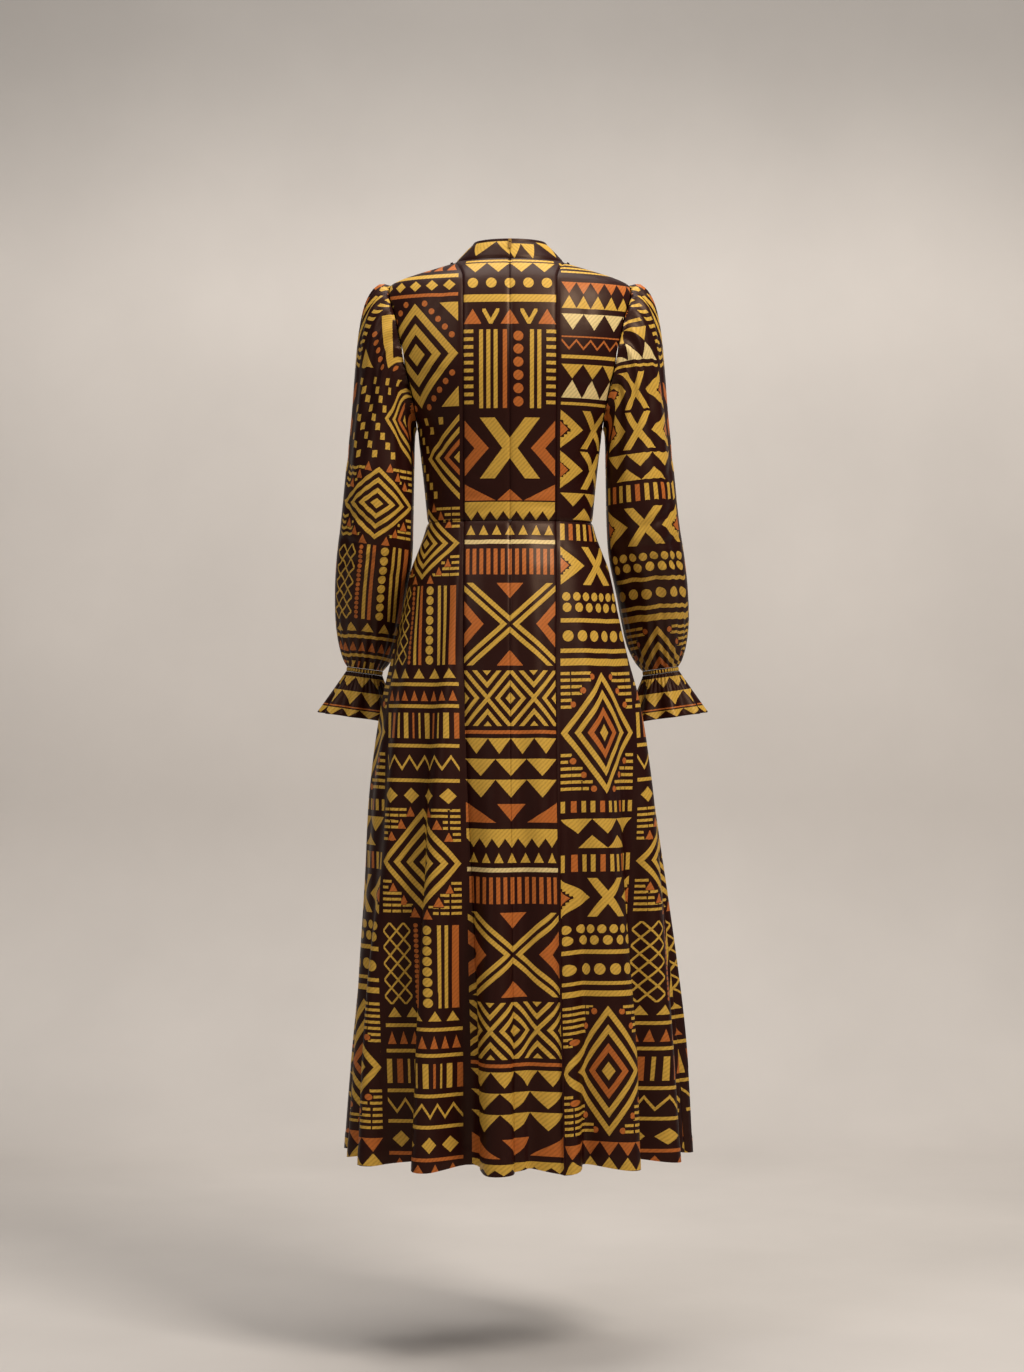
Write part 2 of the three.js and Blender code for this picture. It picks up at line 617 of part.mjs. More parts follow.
// A flat tongue whose top bar passes under the slider's bridge. Its own origin is that bar's middle.
function zipPull() {
  const half = PULL.width / 2;
  const tongue = new THREE.Shape();
  tongue.moveTo(-half + 0.5, PULL.bar / 2);
  tongue.lineTo(-half, 0);
  tongue.lineTo(-half, -PULL.length + 1.5);
  tongue.quadraticCurveTo(-half, -PULL.length, 0, -PULL.length);
  tongue.quadraticCurveTo(half, -PULL.length, half, -PULL.length + 1.5);
  tongue.lineTo(half, 0);
  tongue.lineTo(half - 0.5, PULL.bar / 2);
  tongue.closePath();
  const eye = new THREE.Path();
  const eyeHalf = BRIDGE.width / 2 + PULL.clear;
  eye.moveTo(-eyeHalf, -PULL.bar / 2);
  eye.lineTo(-eyeHalf, -PULL.bar / 2 - PULL.eye);
  eye.lineTo(eyeHalf, -PULL.bar / 2 - PULL.eye);
  eye.lineTo(eyeHalf, -PULL.bar / 2);
  eye.closePath();
  tongue.holes.push(eye);
  const shape = new THREE.ExtrudeGeometry(tongue, { depth: PULL.thickness, bevelEnabled: false, curveSegments: 5 });
  shape.translate(0, 0, -PULL.thickness / 2);
  shape.rotateX(QUARTER);
  return piece("zip_pull", shape, METAL);
}

function zip() {
  const group = new THREE.Group();
  const [low, top] = [collarPoint(0, 0), collarPoint(0, 1)];
  group.position.copy(low).lerp(top, SLIDER.up);
  group.rotation.x = Math.atan2(low.y - top.y, top.z - low.z);
  const pull = zipPull();
  pull.position.set(0, SEAM + SLIDER.thickness + PULL.clear + PULL.thickness / 2, PULL.above);
  group.add(zipSlider(), pull);
  return group;
}

const dress = new THREE.Group();
const [left, leftSide] = [centreBack(), sideBack()];
dress.add(left, mirrored("bodice_centre_back_right", left));
dress.add(leftSide, mirrored("bodice_side_back_right", leftSide));
dress.add(bodiceFront(), ...skirt(), ...arm(1), ...arm(-1), collar(), zipCoil(), zip());

export default dress;
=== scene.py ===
# %% [markdown]
# # A puff sleeve dress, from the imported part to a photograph
# The dress is shown as it is worn and filled out, seen from behind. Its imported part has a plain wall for
# each cut piece. Every wall is built again here from the same sizes, as a finer sheet that carries the
# print, the seams and the small creases. A sheet could be simulated on a figure, but then its folds
# would not be those of the part, so the same formulas make both.

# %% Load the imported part
import math

import bmesh
import bpy
import numpy as np
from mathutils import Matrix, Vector


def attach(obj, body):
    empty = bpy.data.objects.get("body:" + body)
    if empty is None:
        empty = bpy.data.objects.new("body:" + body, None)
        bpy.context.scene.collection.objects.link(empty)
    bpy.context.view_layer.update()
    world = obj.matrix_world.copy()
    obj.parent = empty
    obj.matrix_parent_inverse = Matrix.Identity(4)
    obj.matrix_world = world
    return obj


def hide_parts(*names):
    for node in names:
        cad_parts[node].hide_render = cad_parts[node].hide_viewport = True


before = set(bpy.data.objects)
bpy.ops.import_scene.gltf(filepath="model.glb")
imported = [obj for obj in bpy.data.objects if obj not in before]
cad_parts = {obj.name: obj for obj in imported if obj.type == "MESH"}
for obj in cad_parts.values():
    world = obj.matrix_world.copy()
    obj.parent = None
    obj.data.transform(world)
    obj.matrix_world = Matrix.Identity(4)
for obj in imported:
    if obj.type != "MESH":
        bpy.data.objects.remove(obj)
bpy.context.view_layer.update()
MM = 0.001
print("packed nodes:", len(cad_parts))

# %% [markdown]
# # Sizes
# These are the part's own sizes in millimetres. A table has one named column for each size and one row
# for each height, as in the part's source, so that a change there is easy to repeat here. Numpy reads a
# whole column at once, which keeps the finer surfaces quick to work out.


# %% Body tables
def table(columns, *rows):
    """Rows of sizes as one array for each named column."""
    return {name: np.array(values, float) for name, values in zip(columns.split(), zip(*rows))}


WALL = 2.0
SEAM = 0.3
NECK_Z, NECK_HALF, NECK_FRONT_DROP = 16.0, 80.0, 56.0
TIP_Z, UNDERARM_Z, WAIST_Z, HEM_Z = -16.0, -224.0, -360.0, -1267.0
BODICE = table(
    "z half back front shift",
    (NECK_Z, NECK_HALF, 62, 48, 0),
    (TIP_Z, 172, 88, 68, 0),
    (-70, 189, 106, 92, 0),
    (-136, 177, 113, 113, 0),
    (-191, 152, 108, 126, 0),
    (UNDERARM_Z, 134.5, 102, 123, 0),
    (-242, 132, 98, 119, 0),
    (-303, 125, 86, 103, 0),
    (WAIST_Z, 119.5, 80, 95, 0),
)
SKIRT = table(
    "z half back front shift",
    (WAIST_Z, 119.5, 80, 95, 0),
    (-382, 126, 87, 100, 0),
    (-405, 134.5, 95, 105, 0),
    (-429, 143.5, 103, 110, 0),
    (-500, 158, 117, 119, 0),
    (-558, 171, 125, 126, 0),
    (-620, 185.5, 134, 134, -1),
    (-744, 204.5, 150, 149, -2),
    (-866, 217, 163, 162, -4),
    (-987, 230, 177, 175, -5),
    (-1109, 241, 190, 188, -7),
    (HEM_Z, 252, 205, 202, -8),
)
GROOVES = table(
    "angle depth starts",
    (-176, 44, -520),
    (-152, 40, -600),
    (-129, 46, -500),
    (-106, 38, -560),
    (-82, 32, -620),
    (-56, 46, -540),
    (-30, 52, -480),
    (-5, 36, -560),
    (18.5, 52, -480),
    (45, 50, -520),
    (70, 34, -600),
    (95, 36, -560),
    (118, 42, -520),
    (141, 46, -580),
    (163, 42, -540),
)
HEM_DIP = 7.0
GROOVE_SHARPNESS = 1.25
PRINCESS_HALF = 67.0
ARMHOLE = {"z": -120.0, "half_height": 104.0, "back": 60.0, "front": 55.0}
COLLAR_TOP = {"half": 52.0, "depth": 50.0, "y": -2.0, "z": 46.0, "front_drop": 44.0}

# %% Arm tables
SLEEVE = table(
    "out_x out_z in_x in_z depth y gather",
    (186, -15, 136.2, -228, 61, 0, 2.2),
    (198, -25, 136.9, -231, 62, 0, 2.6),
    (208, -42, 137.2, -234, 62, 0, 2.2),
    (215, -66, 137.4, -238, 61, 0, 1.6),
    (220, -97, 137.6, -243, 59, 1, 1),
    (224, -138, 137.9, -252, 57, 2, 0.4),
    (229, -200, 138.2, -276, 54, 3, 0),
    (237, -280, 139, -318, 55, 3, 0),
    (245, -356, 140, -366, 56, -2, 0),
    (252, -409, 142, -410, 56, -14, 0),
    (256, -458, 150, -458, 54, -38, 0),
    (256, -500, 158, -502, 50, -62, 0.5),
    (252, -532, 166, -535, 44, -79, 1),
    (246, -556, 178, -560, 36, -91, 1),
    (241, -567, 189, -574, 30, -96, 0.6),
)
SLEEVE["z"] = -np.arange(len(SLEEVE["y"]), dtype=float)  # each row's place in the table, downwards
CAP_TURN = math.radians(110)
CAP_GATHERS = 15
UNDER_GATHERS = 5
RIGHT_WRIST_OUT = 8.0
ARMHOLE_OUT = np.array([0.985, 0, -0.175])
BAND_HEIGHT, BAND_RIDGES, RIDGE = 6.5, 40, 0.7
RUFFLE_LENGTH, RUFFLE_HALF, RUFFLE_DEPTH = 66.0, 60.0, 50.0
RUFFLE_WAVES, RUFFLE_WAVE = 9, 5.0
RUFFLE_DRIFT = np.array([-3.0, -6.0, 0.0])
print("body rows:", len(BODICE["z"]) + len(SKIRT["z"]), "sleeve rows:", len(SLEEVE["y"]))

# %% [markdown]
# # The surfaces
# A horizontal cut through the dress is an oval, and its half width and depths follow smooth curves
# through the tables. Grooves pull the skirt's oval in, so rounded folds stand between them. A sculpted
# mesh could hold these forms too, but formulas give any number of points and exact seams.


# %% Ovals and folds
def at_height(rows, column, z):
    """One column of a table at the heights z: a cubic through the rows, which run downwards."""
    heights, values = rows["z"], rows[column]
    last = len(heights) - 1
    above = np.maximum(np.arange(last + 1) - 1, 0)
    below = np.minimum(np.arange(last + 1) + 1, last)
    slopes = (values[below] - values[above]) / (heights[below] - heights[above])
    z = np.asarray(z, float)
    i = np.clip(np.searchsorted(-heights, -z, side="right") - 1, 0, last - 1)
    span = heights[i + 1] - heights[i]
    t = (z - heights[i]) / span
    back = 1 - t
    near = (1 + 2 * t) * back**2 * values[i] + t * back**2 * span * slopes[i]
    return near + t**2 * (3 - 2 * t) * values[i + 1] - t**2 * back * span * slopes[i + 1]


def depth_at(rows, angle, z):
    return np.where(np.cos(angle) >= 0, at_height(rows, "back", z), at_height(rows, "front", z))


def oval(rows, angle, z):
    """Points of the oval sections. Angle 0 is the centre back, a quarter turn the wearer's left side."""
    x = at_height(rows, "half", z) * np.sin(angle) + at_height(rows, "shift", z)
    y = depth_at(rows, angle, z) * np.cos(angle)
    return np.stack([x, y, z + 0 * angle], -1)


def skirt_points(angle, z):
    angle, z = np.broadcast_arrays(angle, z)
    point = oval(SKIRT, angle, z)
    first = GROOVES["angle"][0]
    turn = (np.degrees(angle) - first) % 360 + first
    low = np.searchsorted(GROOVES["angle"], turn, side="right") - 1
    high = (low + 1) % len(GROOVES["angle"])
    width = (GROOVES["angle"][high] - GROOVES["angle"][low]) % 360
    share = (turn - GROOVES["angle"][low]) / width
    in_groove = ((1 + np.cos(2 * np.pi * share)) / 2) ** GROOVE_SHARPNESS
    nearest = np.where(share < 0.5, low, high)
    starts = GROOVES["starts"][nearest]
    grown = np.clip((starts - z) / (starts - HEM_Z), 0, 1) ** 1.3
    middle = at_height(SKIRT, "shift", z)
    radius = np.hypot(point[..., 0] - middle, point[..., 1])
    keep = 1 - GROOVES["depth"][nearest] * grown * in_groove / radius
    point[..., 0] = middle + (point[..., 0] - middle) * keep
    point[..., 1] *= keep
    point[..., 2] -= HEM_DIP * (1 - in_groove) * grown**2
    return point


def bodice_points(angle, z):
    angle, z = np.broadcast_arrays(angle, z)
    return oval(BODICE, angle, z)


def arc_length(rows, start, end, z, pieces=24):
    """The way round the unfolded oval from one angle to another, in millimetres."""
    total = 0 * (start + end + z)
    for piece in range(pieces):
        angle = start + (end - start) * (piece + 0.5) / pieces
        across = at_height(rows, "half", z) * np.cos(angle)
        total = total + np.hypot(across, depth_at(rows, angle, z) * np.sin(angle))
    return (end - start) * total / pieces


print("hem's half width:", round(float(skirt_points(math.radians(82), HEM_Z)[0]), 1), "mm")

# %% [markdown]
# # The print as a chart
# The cloth has a traditional patchwork of triangles, bars, dots and nested diamonds, in rows that run
# down three columns. Each row of a chart is one patch: its place below the collar's edge, its motif,
# how often that repeats across and down, and its one or two inks. A motif is one rule, on the distance
# across a repeat and the distance down it, so nothing of the cloth is traced.

# %% Inks and motifs
INKS = {
    "gold": "#c99d40",
    "pale": "#d8bd80",
    "orange": "#b3622b",
}
GROUND = "#240a09"
COLUMN_WIDTH = 140.0
COLUMN_MARGIN = 4.0  # the plain strip at each side of a column
EDGE = COLUMN_WIDTH / 2 - COLUMN_MARGIN


PLAIN_MOTIF = dict(
    across=0, down=0, phase=0, rings=0.5, fill=0.5, mirrored=0, radial=0, over=-9, limit=9, folded=0
)


def motif(**settings):
    """The rule is across x a + down x t + phase, and its size alone where it is folded. Ink lies where
    the rule is between over and limit and the fraction of rings x rule is below fill."""
    return {**PLAIN_MOTIF, **settings}


def both_ways(across=1, down=1, **settings):
    """A motif whose lower half mirrors its upper one."""
    return motif(across=across, down=down, mirrored=1, **settings)


MOTIFS = {
    "bar": motif(),
    "bars": motif(across=1, fill=0.27),
    "stripes": motif(down=1, rings=1, fill=0.46),
    "down": motif(across=1, down=1),
    "up": motif(across=1, down=-1, phase=1),
    "saw": motif(across=1, down=2, rings=0.25),
    "small_up": motif(across=1.4, down=-1, phase=1, limit=1),
    "zigzag": motif(across=0.76, down=1, phase=-0.76, fill=0.12),
    "vee": motif(across=1, down=1, phase=-0.64, fill=0.27),
    "diamond": both_ways(limit=1),
    "small_diamond": both_ways(across=1.4, limit=1),
    "chevron": both_ways(rings=0.1, fill=1, over=0.42, limit=1),
    "nested": both_ways(rings=3.5, limit=1),
    "wide_nested": both_ways(rings=2.54, fill=0.54, limit=1),
    "lattice": both_ways(rings=2.2, fill=0.47),
    "crossed": both_ways(down=-0.75, rings=0.1, fill=1, limit=0.25, folded=1),
    "double_crossed": both_ways(down=-1, rings=0.1, fill=1, over=0.055, limit=0.2, folded=1),
    "net": both_ways(phase=-0.82, fill=0.18),
    "dots": motif(across=1, down=1, fill=0.44, radial=1),
}
print("motifs:", len(MOTIFS))


# %% Blocks of the chart
def patch(top, bottom, name, across=1, ink="gold", second=None, down=1, left=-EDGE, right=EDGE):
    """One motif in its rectangle of a column, in millimetres below the collar's top and from the middle."""
    place = dict(top=top, bottom=bottom, left=left, right=right)
    return dict(**place, name=name, across=across, down=down, ink=ink, second=second or ink)


def both_sides(top, bottom, name, inner, outer, **more):
    """The same motif at the left and the right of a column."""
    return [
        patch(top, bottom, name, left=-outer, right=-inner, **more),
        patch(top, bottom, name, left=inner, right=outer, **more),
    ]


def corners(top, bottom, size):
    """A right-angled triangle in each corner: half a triangle whose middle is the column's edge."""
    reach = dict(inner=EDGE - size, outer=EDGE + size)
    return both_sides(top, top + size, "down", **reach) + both_sides(bottom - size, bottom, "up", **reach)


STRIPE_PITCH = 9.0


def corner_stripes(top, bottom, reach=0.33):
    """Stripes in the four corners of a block, in three steps that grow shorter towards the middle."""
    most = round((bottom - top) * reach / STRIPE_PITCH)
    pitch = (bottom - top) * reach / most
    rows = []
    for step in range(3):
        count = round(most * (1 - step / 3))
        part = count * pitch
        inner = EDGE - (step + 1) * 15
        rows += both_sides(top, top + part, "stripes", inner, inner + 15, down=count)
        rows += both_sides(bottom - part, bottom, "stripes", inner, inner + 15, down=count)
    return rows


def beads(top, bottom, name, away=11, size=10, count=4):
    """Small orange marks in a row outside each side of a block's diamond."""
    middle, half = (top + bottom) / 2, (bottom - top) / 2
    slope = math.hypot(half, EDGE)
    rows = []
    for number in range(count):
        share = (number + 0.7) / (count + 0.4)
        aside = EDGE * share + away * half / slope
        if aside + size / 2 > EDGE:
            continue
        for way in (-1, 1):
            level = middle + way * (half * (1 - share) + away * EDGE / slope)
            place = dict(inner=aside - size / 2, outer=aside + size / 2, ink="orange")
            rows += both_sides(level - size / 2, level + size / 2, name, **place)
    return rows


def diamond_block(top, bottom, bead="dots", second="gold", size=10):
    """Nested diamonds with small marks along their sides and stripes in the corners."""
    nested = patch(top, bottom, "nested", second=second)
    return [*corner_stripes(top, bottom), *beads(top, bottom, bead, size=size), nested]


def mixed_bars(top, bottom, widths=(7, 8, 4, 7, 3, 3, 8, 4, 3, 8, 7)):
    """Upright bars of uneven widths, every third one orange."""
    gap = (2 * EDGE - sum(widths)) / (len(widths) - 1)
    rows = []
    left = -EDGE
    for number, width in enumerate(widths):
        ink = "orange" if number % 3 == 1 else "gold"
        rows.append(patch(top, bottom, "bar", ink=ink, left=left, right=left + width))
        left += width + gap
    return rows


def side_chevrons(top, bottom, reach, ink="orange"):
    """Arrowheads that point in from both edges of a column: half diamonds on its edges."""
    return both_sides(top, bottom, "chevron", EDGE - reach, EDGE + reach, ink=ink)


def crossed_block(top, bottom):
    """A bold cross between two orange arrowheads."""
    tall = bottom - top
    return [
        patch(top + 4, bottom - 4, "crossed", left=-43, right=43),
        *side_chevrons(top + tall * 0.08, bottom - tall * 0.08, 36),
    ]


def double_block(top, bottom):
    """A cross of double lines from corner to corner, with orange arrowheads and triangles in it."""
    reach = (bottom - top) * 0.28
    middle = (top + bottom) / 2
    return [
        patch(top, bottom, "double_crossed"),
        *side_chevrons(middle - reach, middle + reach, 29),
        patch(top, top + 22, "down", ink="orange", left=-19, right=19),
        patch(bottom - 22, bottom, "up", ink="orange", left=-19, right=19),
    ]


def woven_block(top, bottom):
    """A cross between two arrowheads, in gold with orange hearts at the edges."""
    tall = bottom - top
    return [
        patch(top, bottom, "crossed", left=-30, right=30),
        *side_chevrons(top, bottom, 40, "gold"),
        *both_sides(top + tall * 0.3, bottom - tall * 0.3, "diamond", EDGE - 13, EDGE + 13, ink="orange"),
    ]


def ladder_block(top, bottom):
    """Slanting rows of small squares beside nested arrowheads."""
    middle, half = (top + bottom) / 2, (bottom - top) / 2
    inner = 4
    rows = []
    for row in range(-3, 5):
        for number in range(9):
            across, down = -EDGE + 8 + 10 * number + 31 * row, top + 8 + 13 * number
            near = abs(across - EDGE) / (EDGE - inner) + abs(down - middle) / half < 1.22
            if abs(across) > EDGE - 6 or down > bottom - 6 or near:
                continue
            rows.append(patch(down - 5, down + 5, "bar", left=across - 4, right=across + 4))
    return [*rows, patch(top, bottom, "nested", second="orange", left=inner, right=2 * EDGE - inner)]


def upright_block(top, bottom):
    """Upright strips: a lattice, beads, stripes, dots and bars."""
    return [
        patch(top, bottom, "net", 2, down=5, left=-EDGE, right=-26),
        patch(top, bottom, "dots", 1, "orange", down=16, left=-22, right=-15),
        patch(top, bottom, "bar", left=-10, right=-5),
        patch(top, bottom, "bar", ink="orange", left=-1, right=4),
        patch(top, bottom, "dots", 1, down=8, left=10, right=25),
        patch(top, bottom, "bar", left=31, right=36),
        patch(top, bottom, "bar", left=41, right=46),
        patch(top, bottom, "bar", ink="orange", left=52, right=62),
    ]


# %% Charts of the three columns
def centre_period(top):
    """The centre column's repeat, 462 mm long."""
    return [
        patch(top, top + 26, "saw", 7),
        patch(top + 33, top + 47, "small_up", 7),
        patch(top + 54, top + 60, "bar", ink="pale"),
        patch(top + 67, top + 104, "bars", 13, "orange"),
        *double_block(top + 116, top + 233),
        patch(top + 240, top + 318, "lattice", 3, left=-99, right=99),
        patch(top + 324, top + 329, "bar", ink="orange"),
        patch(top + 335, top + 357, "down", 4),
        patch(top + 364, top + 388, "down", 3),
        patch(top + 393, top + 418, "down", 3),
        *both_sides(top + 425, top + 453, "up", 22, EDGE + 44, ink="orange"),
        patch(top + 427, top + 451, "down", ink="orange", left=-20, right=20),
    ]


CENTRE_CHART = [
    patch(4, 25, "down", 3),
    patch(33, 37, "bar"),
    patch(38, 53, "down", 4),
    patch(61, 78, "dots", 5),
    patch(87, 98, "bar"),
    *both_sides(108, 130, "up", 40, EDGE, ink="orange"),
    *both_sides(108, 130, "vee", 15, 39),
    patch(108, 130, "up", ink="orange", left=-13, right=13),
    *both_sides(138, 249, "stripes", 52, EDGE, down=10),
    patch(138, 249, "bars", 3, left=-46, right=-15),
    patch(138, 249, "bar", ink="orange", left=-10, right=-4),
    patch(138, 249, "dots", 1, "orange", down=6, left=4, right=20),
    patch(138, 249, "bars", 2, left=26, right=47),
    *crossed_block(258, 351),
    *both_sides(355, 378, "up", 20, EDGE + 46, ink="orange"),
    patch(362, 378, "up", ink="orange", left=-18, right=18),
    *centre_period(380),
    *centre_period(842),
    patch(1303, 1318, "saw", 7),
]
LEFT_CHART = [
    patch(8, 30, "up", 6, "orange"),
    patch(36, 48, "small_up", 6, "orange"),
    patch(54, 60, "bar"),
    patch(63, 79, "small_diamond", 5),
    patch(83, 88, "bar", ink="orange"),
    *corners(97, 245, 28),
    *beads(97, 245, "dots", count=6),
    patch(97, 245, "wide_nested"),
    *ladder_block(256, 376),
    *diamond_block(386, 490, "up", size=13),
    *upright_block(499, 612),
    patch(617, 631, "small_up", 5),
    patch(637, 642, "bar"),
    patch(648, 663, "small_up", 8, "orange"),
    patch(668, 673, "bar"),
    *mixed_bars(680, 716),
    patch(724, 729, "bar"),
    patch(739, 762, "zigzag", 5.5),
    patch(773, 778, "bar"),
    patch(786, 808, "small_diamond", 4),
    *diamond_block(815, 967, "up", size=14),
    *upright_block(977, 1092),
    patch(1096, 1110, "small_up", 5),
    patch(1119, 1124, "bar"),
    patch(1130, 1148, "small_up", 8, "orange"),
    patch(1155, 1160, "bar"),
    *mixed_bars(1169, 1203),
    patch(1211, 1216, "bar"),
    patch(1223, 1246, "zigzag", 5.5),
    patch(1254, 1259, "bar"),
    patch(1270, 1293, "small_diamond", 4),
    patch(1299, 1304, "bar", ink="orange"),
    patch(1308, 1330, "up", 5, "orange"),
]
BOLD_BARS = [7] * 10
RIGHT_CHART = [
    patch(8, 30, "down", 6),
    patch(36, 56, "stripes", down=3),
    patch(67, 84, "down", 6, "orange"),
    patch(87, 106, "up", 6),
    patch(114, 137, "down", 4, "pale"),
    patch(146, 150, "bar", ink="orange"),
    patch(150, 166, "zigzag", 6, "orange"),
    patch(173, 178, "bar"),
    patch(186, 206, "down", 4),
    patch(208, 233, "up", 4, "pale"),
    patch(239, 243, "bar"),
    *woven_block(250, 303),
    *woven_block(307, 360),
    patch(366, 385, "down", 3),
    patch(387, 404, "up", 2, left=-44, right=44),
    *mixed_bars(410, 434, BOLD_BARS),
    *woven_block(443, 498),
    patch(508, 522, "dots", 8),
    patch(523, 538, "dots", 7),
    patch(546, 552, "bar"),
    patch(562, 580, "dots", 6),
    patch(589, 595, "bar"),
    patch(603, 613, "bar"),
    *diamond_block(622, 794, second="orange"),
    *mixed_bars(804, 820, BOLD_BARS),
    patch(829, 850, "down", 3),
    patch(852, 870, "up", 2, left=-44, right=44),
    *mixed_bars(879, 903, BOLD_BARS),
    *woven_block(912, 966),
    patch(976, 990, "dots", 8),
    patch(991, 1006, "dots", 7),
    patch(1012, 1018, "bar"),
    patch(1030, 1048, "dots", 6),
    patch(1056, 1061, "bar"),
    patch(1069, 1077, "bar"),
    *diamond_block(1090, 1272, second="orange"),
    patch(1280, 1299, "down", 5, "orange"),
    patch(1301, 1319, "up", 5),
]
RUFFLE_CHART = [
    patch(6, 21, "down", 5),
    patch(28, 48, "down", 4),
    patch(51, 53, "bar", ink="orange"),
    patch(55, 66, "down", 4),
]
BAND_CHART = [patch(1, BAND_HEIGHT - 1, "bars", 24)]
print("patches:", len(CENTRE_CHART), len(LEFT_CHART), len(RIGHT_CHART))


# %% Read the charts for a sheet's faces
def linear(colour):
    """A #rrggbb colour as linear red, green and blue."""
    parts = [int(colour[i : i + 2], 16) / 255 for i in (1, 3, 5)]
    return [p / 12.92 if p <= 0.04045 else ((p + 0.055) / 1.055) ** 2.4 for p in parts]


DIAMOND_MARGIN = 3.0


def patch_values(patch):
    """What the cloth's material reads for one patch: three settings at a time, then its inks."""
    rule = MOTIFS[patch["name"]]
    width, height = patch["right"] - patch["left"], patch["bottom"] - patch["top"]
    tall = (height / patch["down"]) / (width / patch["across"]) if rule["radial"] else 1
    return {
        "print_rule": (rule["across"] * max(1, 1 / tall), rule["down"] * max(1, tall), rule["phase"]),
        "print_rings": (rule["rings"], rule["fill"], rule["mirrored"]),
        "print_place": (patch["top"] * MM, height * MM, rule["radial"]),
        "print_span": (patch["left"] * MM, width * MM, rule["limit"]),
        "print_repeats": (patch["across"], patch["down"], 1),
        "print_limits": (rule["over"], rule["folded"], 0),
        "print_ink": linear(INKS[patch["ink"]]),
        "print_second": linear(INKS[patch["second"]]),
    }


def nearest_patch(chart, u, v):
    """For each place, the last patch of the chart that holds it, or else the nearest one. A single
    diamond holds only what is inside it or within a small margin, so others fill its corners."""
    edges = ("top", "bottom", "left", "right")
    side = {name: np.array([patch[name] for patch in chart], float)[:, None] for name in edges}
    below = np.maximum(np.maximum(side["top"] - v, v - side["bottom"]), 0)
    aside = np.maximum(np.maximum(side["left"] - u, u - side["right"]), 0)
    away = np.hypot(below, aside)
    for row, patch in enumerate(chart):
        if patch["name"] in ("nested", "wide_nested", "chevron", "diamond") and patch["across"] == 1:
            half_wide, half_tall = (patch["right"] - patch["left"]) / 2, (patch["bottom"] - patch["top"]) / 2
            along = np.abs(u - (patch["left"] + patch["right"]) / 2) / half_wide
            down = np.abs(v - (patch["top"] + patch["bottom"]) / 2) / half_tall
            away[row] = np.maximum((along + down - 1) * min(half_wide, half_tall) - DIAMOND_MARGIN, 0)
    later = np.arange(len(chart))[:, None] * 0.001
    return (away - later).argmin(0)


def print_attributes(mesh, u, v, charts, strength):
    """Writes each face's patch on the mesh. Charts are one for each column of the print, in turn."""
    column = np.round(u / COLUMN_WIDTH).astype(int)
    values = {}
    for number in np.unique(column):
        chart = charts[number % len(charts)]
        faces = np.flatnonzero(column == number)
        found = nearest_patch(chart, u[faces] - number * COLUMN_WIDTH, v[faces])
        for place in np.unique(found):
            for name, numbers in patch_values(chart[place]).items():
                values.setdefault(name, np.zeros((len(u), 3), np.float32))[faces[found == place]] = numbers
    values["print_repeats"][:, 2] = strength
    for name, numbers in values.items():
        mesh.attributes.new(name, "FLOAT_VECTOR", "FACE").data.foreach_set("vector", numbers.ravel())


# %% [markdown]
# # Cloth as a closed sheet
# A sheet starts as a grid of points on the surface. Seams draw its edges in, creases move it a little
# along its normals, and a second grid two millimetres inside closes it. Blender's Solidify could add
# the inner side, but here both sides also need the print's places, so one function makes both.


# %% From grid to sheet
def normals_of(points, ring=False):
    """Outward normals of a grid whose rows run down and whose columns run clockwise from above."""
    if ring:
        around = np.roll(points, -1, 1) - np.roll(points, 1, 1)
    else:
        around = np.gradient(points, axis=1)
    down = np.gradient(points, axis=0)
    normal = np.cross(around, down)
    normal /= np.maximum(np.linalg.norm(normal, axis=-1, keepdims=True), 1e-9)
    return normal


def grid_faces(rows, columns, offset, ring, flip):
    row, column = np.meshgrid(np.arange(rows - 1), np.arange(columns if ring else columns - 1), indexing="ij")
    after = (column + 1) % columns
    start, below = row * columns, (row + 1) * columns
    corners = [start + column, below + column, below + after, start + after]
    faces = np.stack([c.ravel() + offset for c in corners], 1)
    return faces[:, ::-1] if flip else faces


def rim_faces(rows, columns, ring, open_rows):
    """Faces between the two sides. The last column stays open below row open_rows, to be joined."""
    count = rows * columns
    around = np.arange(columns if ring else columns - 1)
    after = (around + 1) % columns
    last = (rows - 1) * columns
    faces = [
        np.stack([around, after, after + count, around + count], 1)[:, ::-1],
        np.stack([around, after, after + count, around + count], 1) + last,
    ]
    if not ring:
        start = np.arange(rows - 1) * columns
        side = np.stack([start, start + columns, start + columns + count, start + count], 1)
        faces.append(side)
        faces.append((side + columns - 1)[:open_rows, ::-1])
    return np.concatenate(faces)


FOLD_ALLOWANCE = 1.03  # what the fine folds add to a flat size that is measured along the points


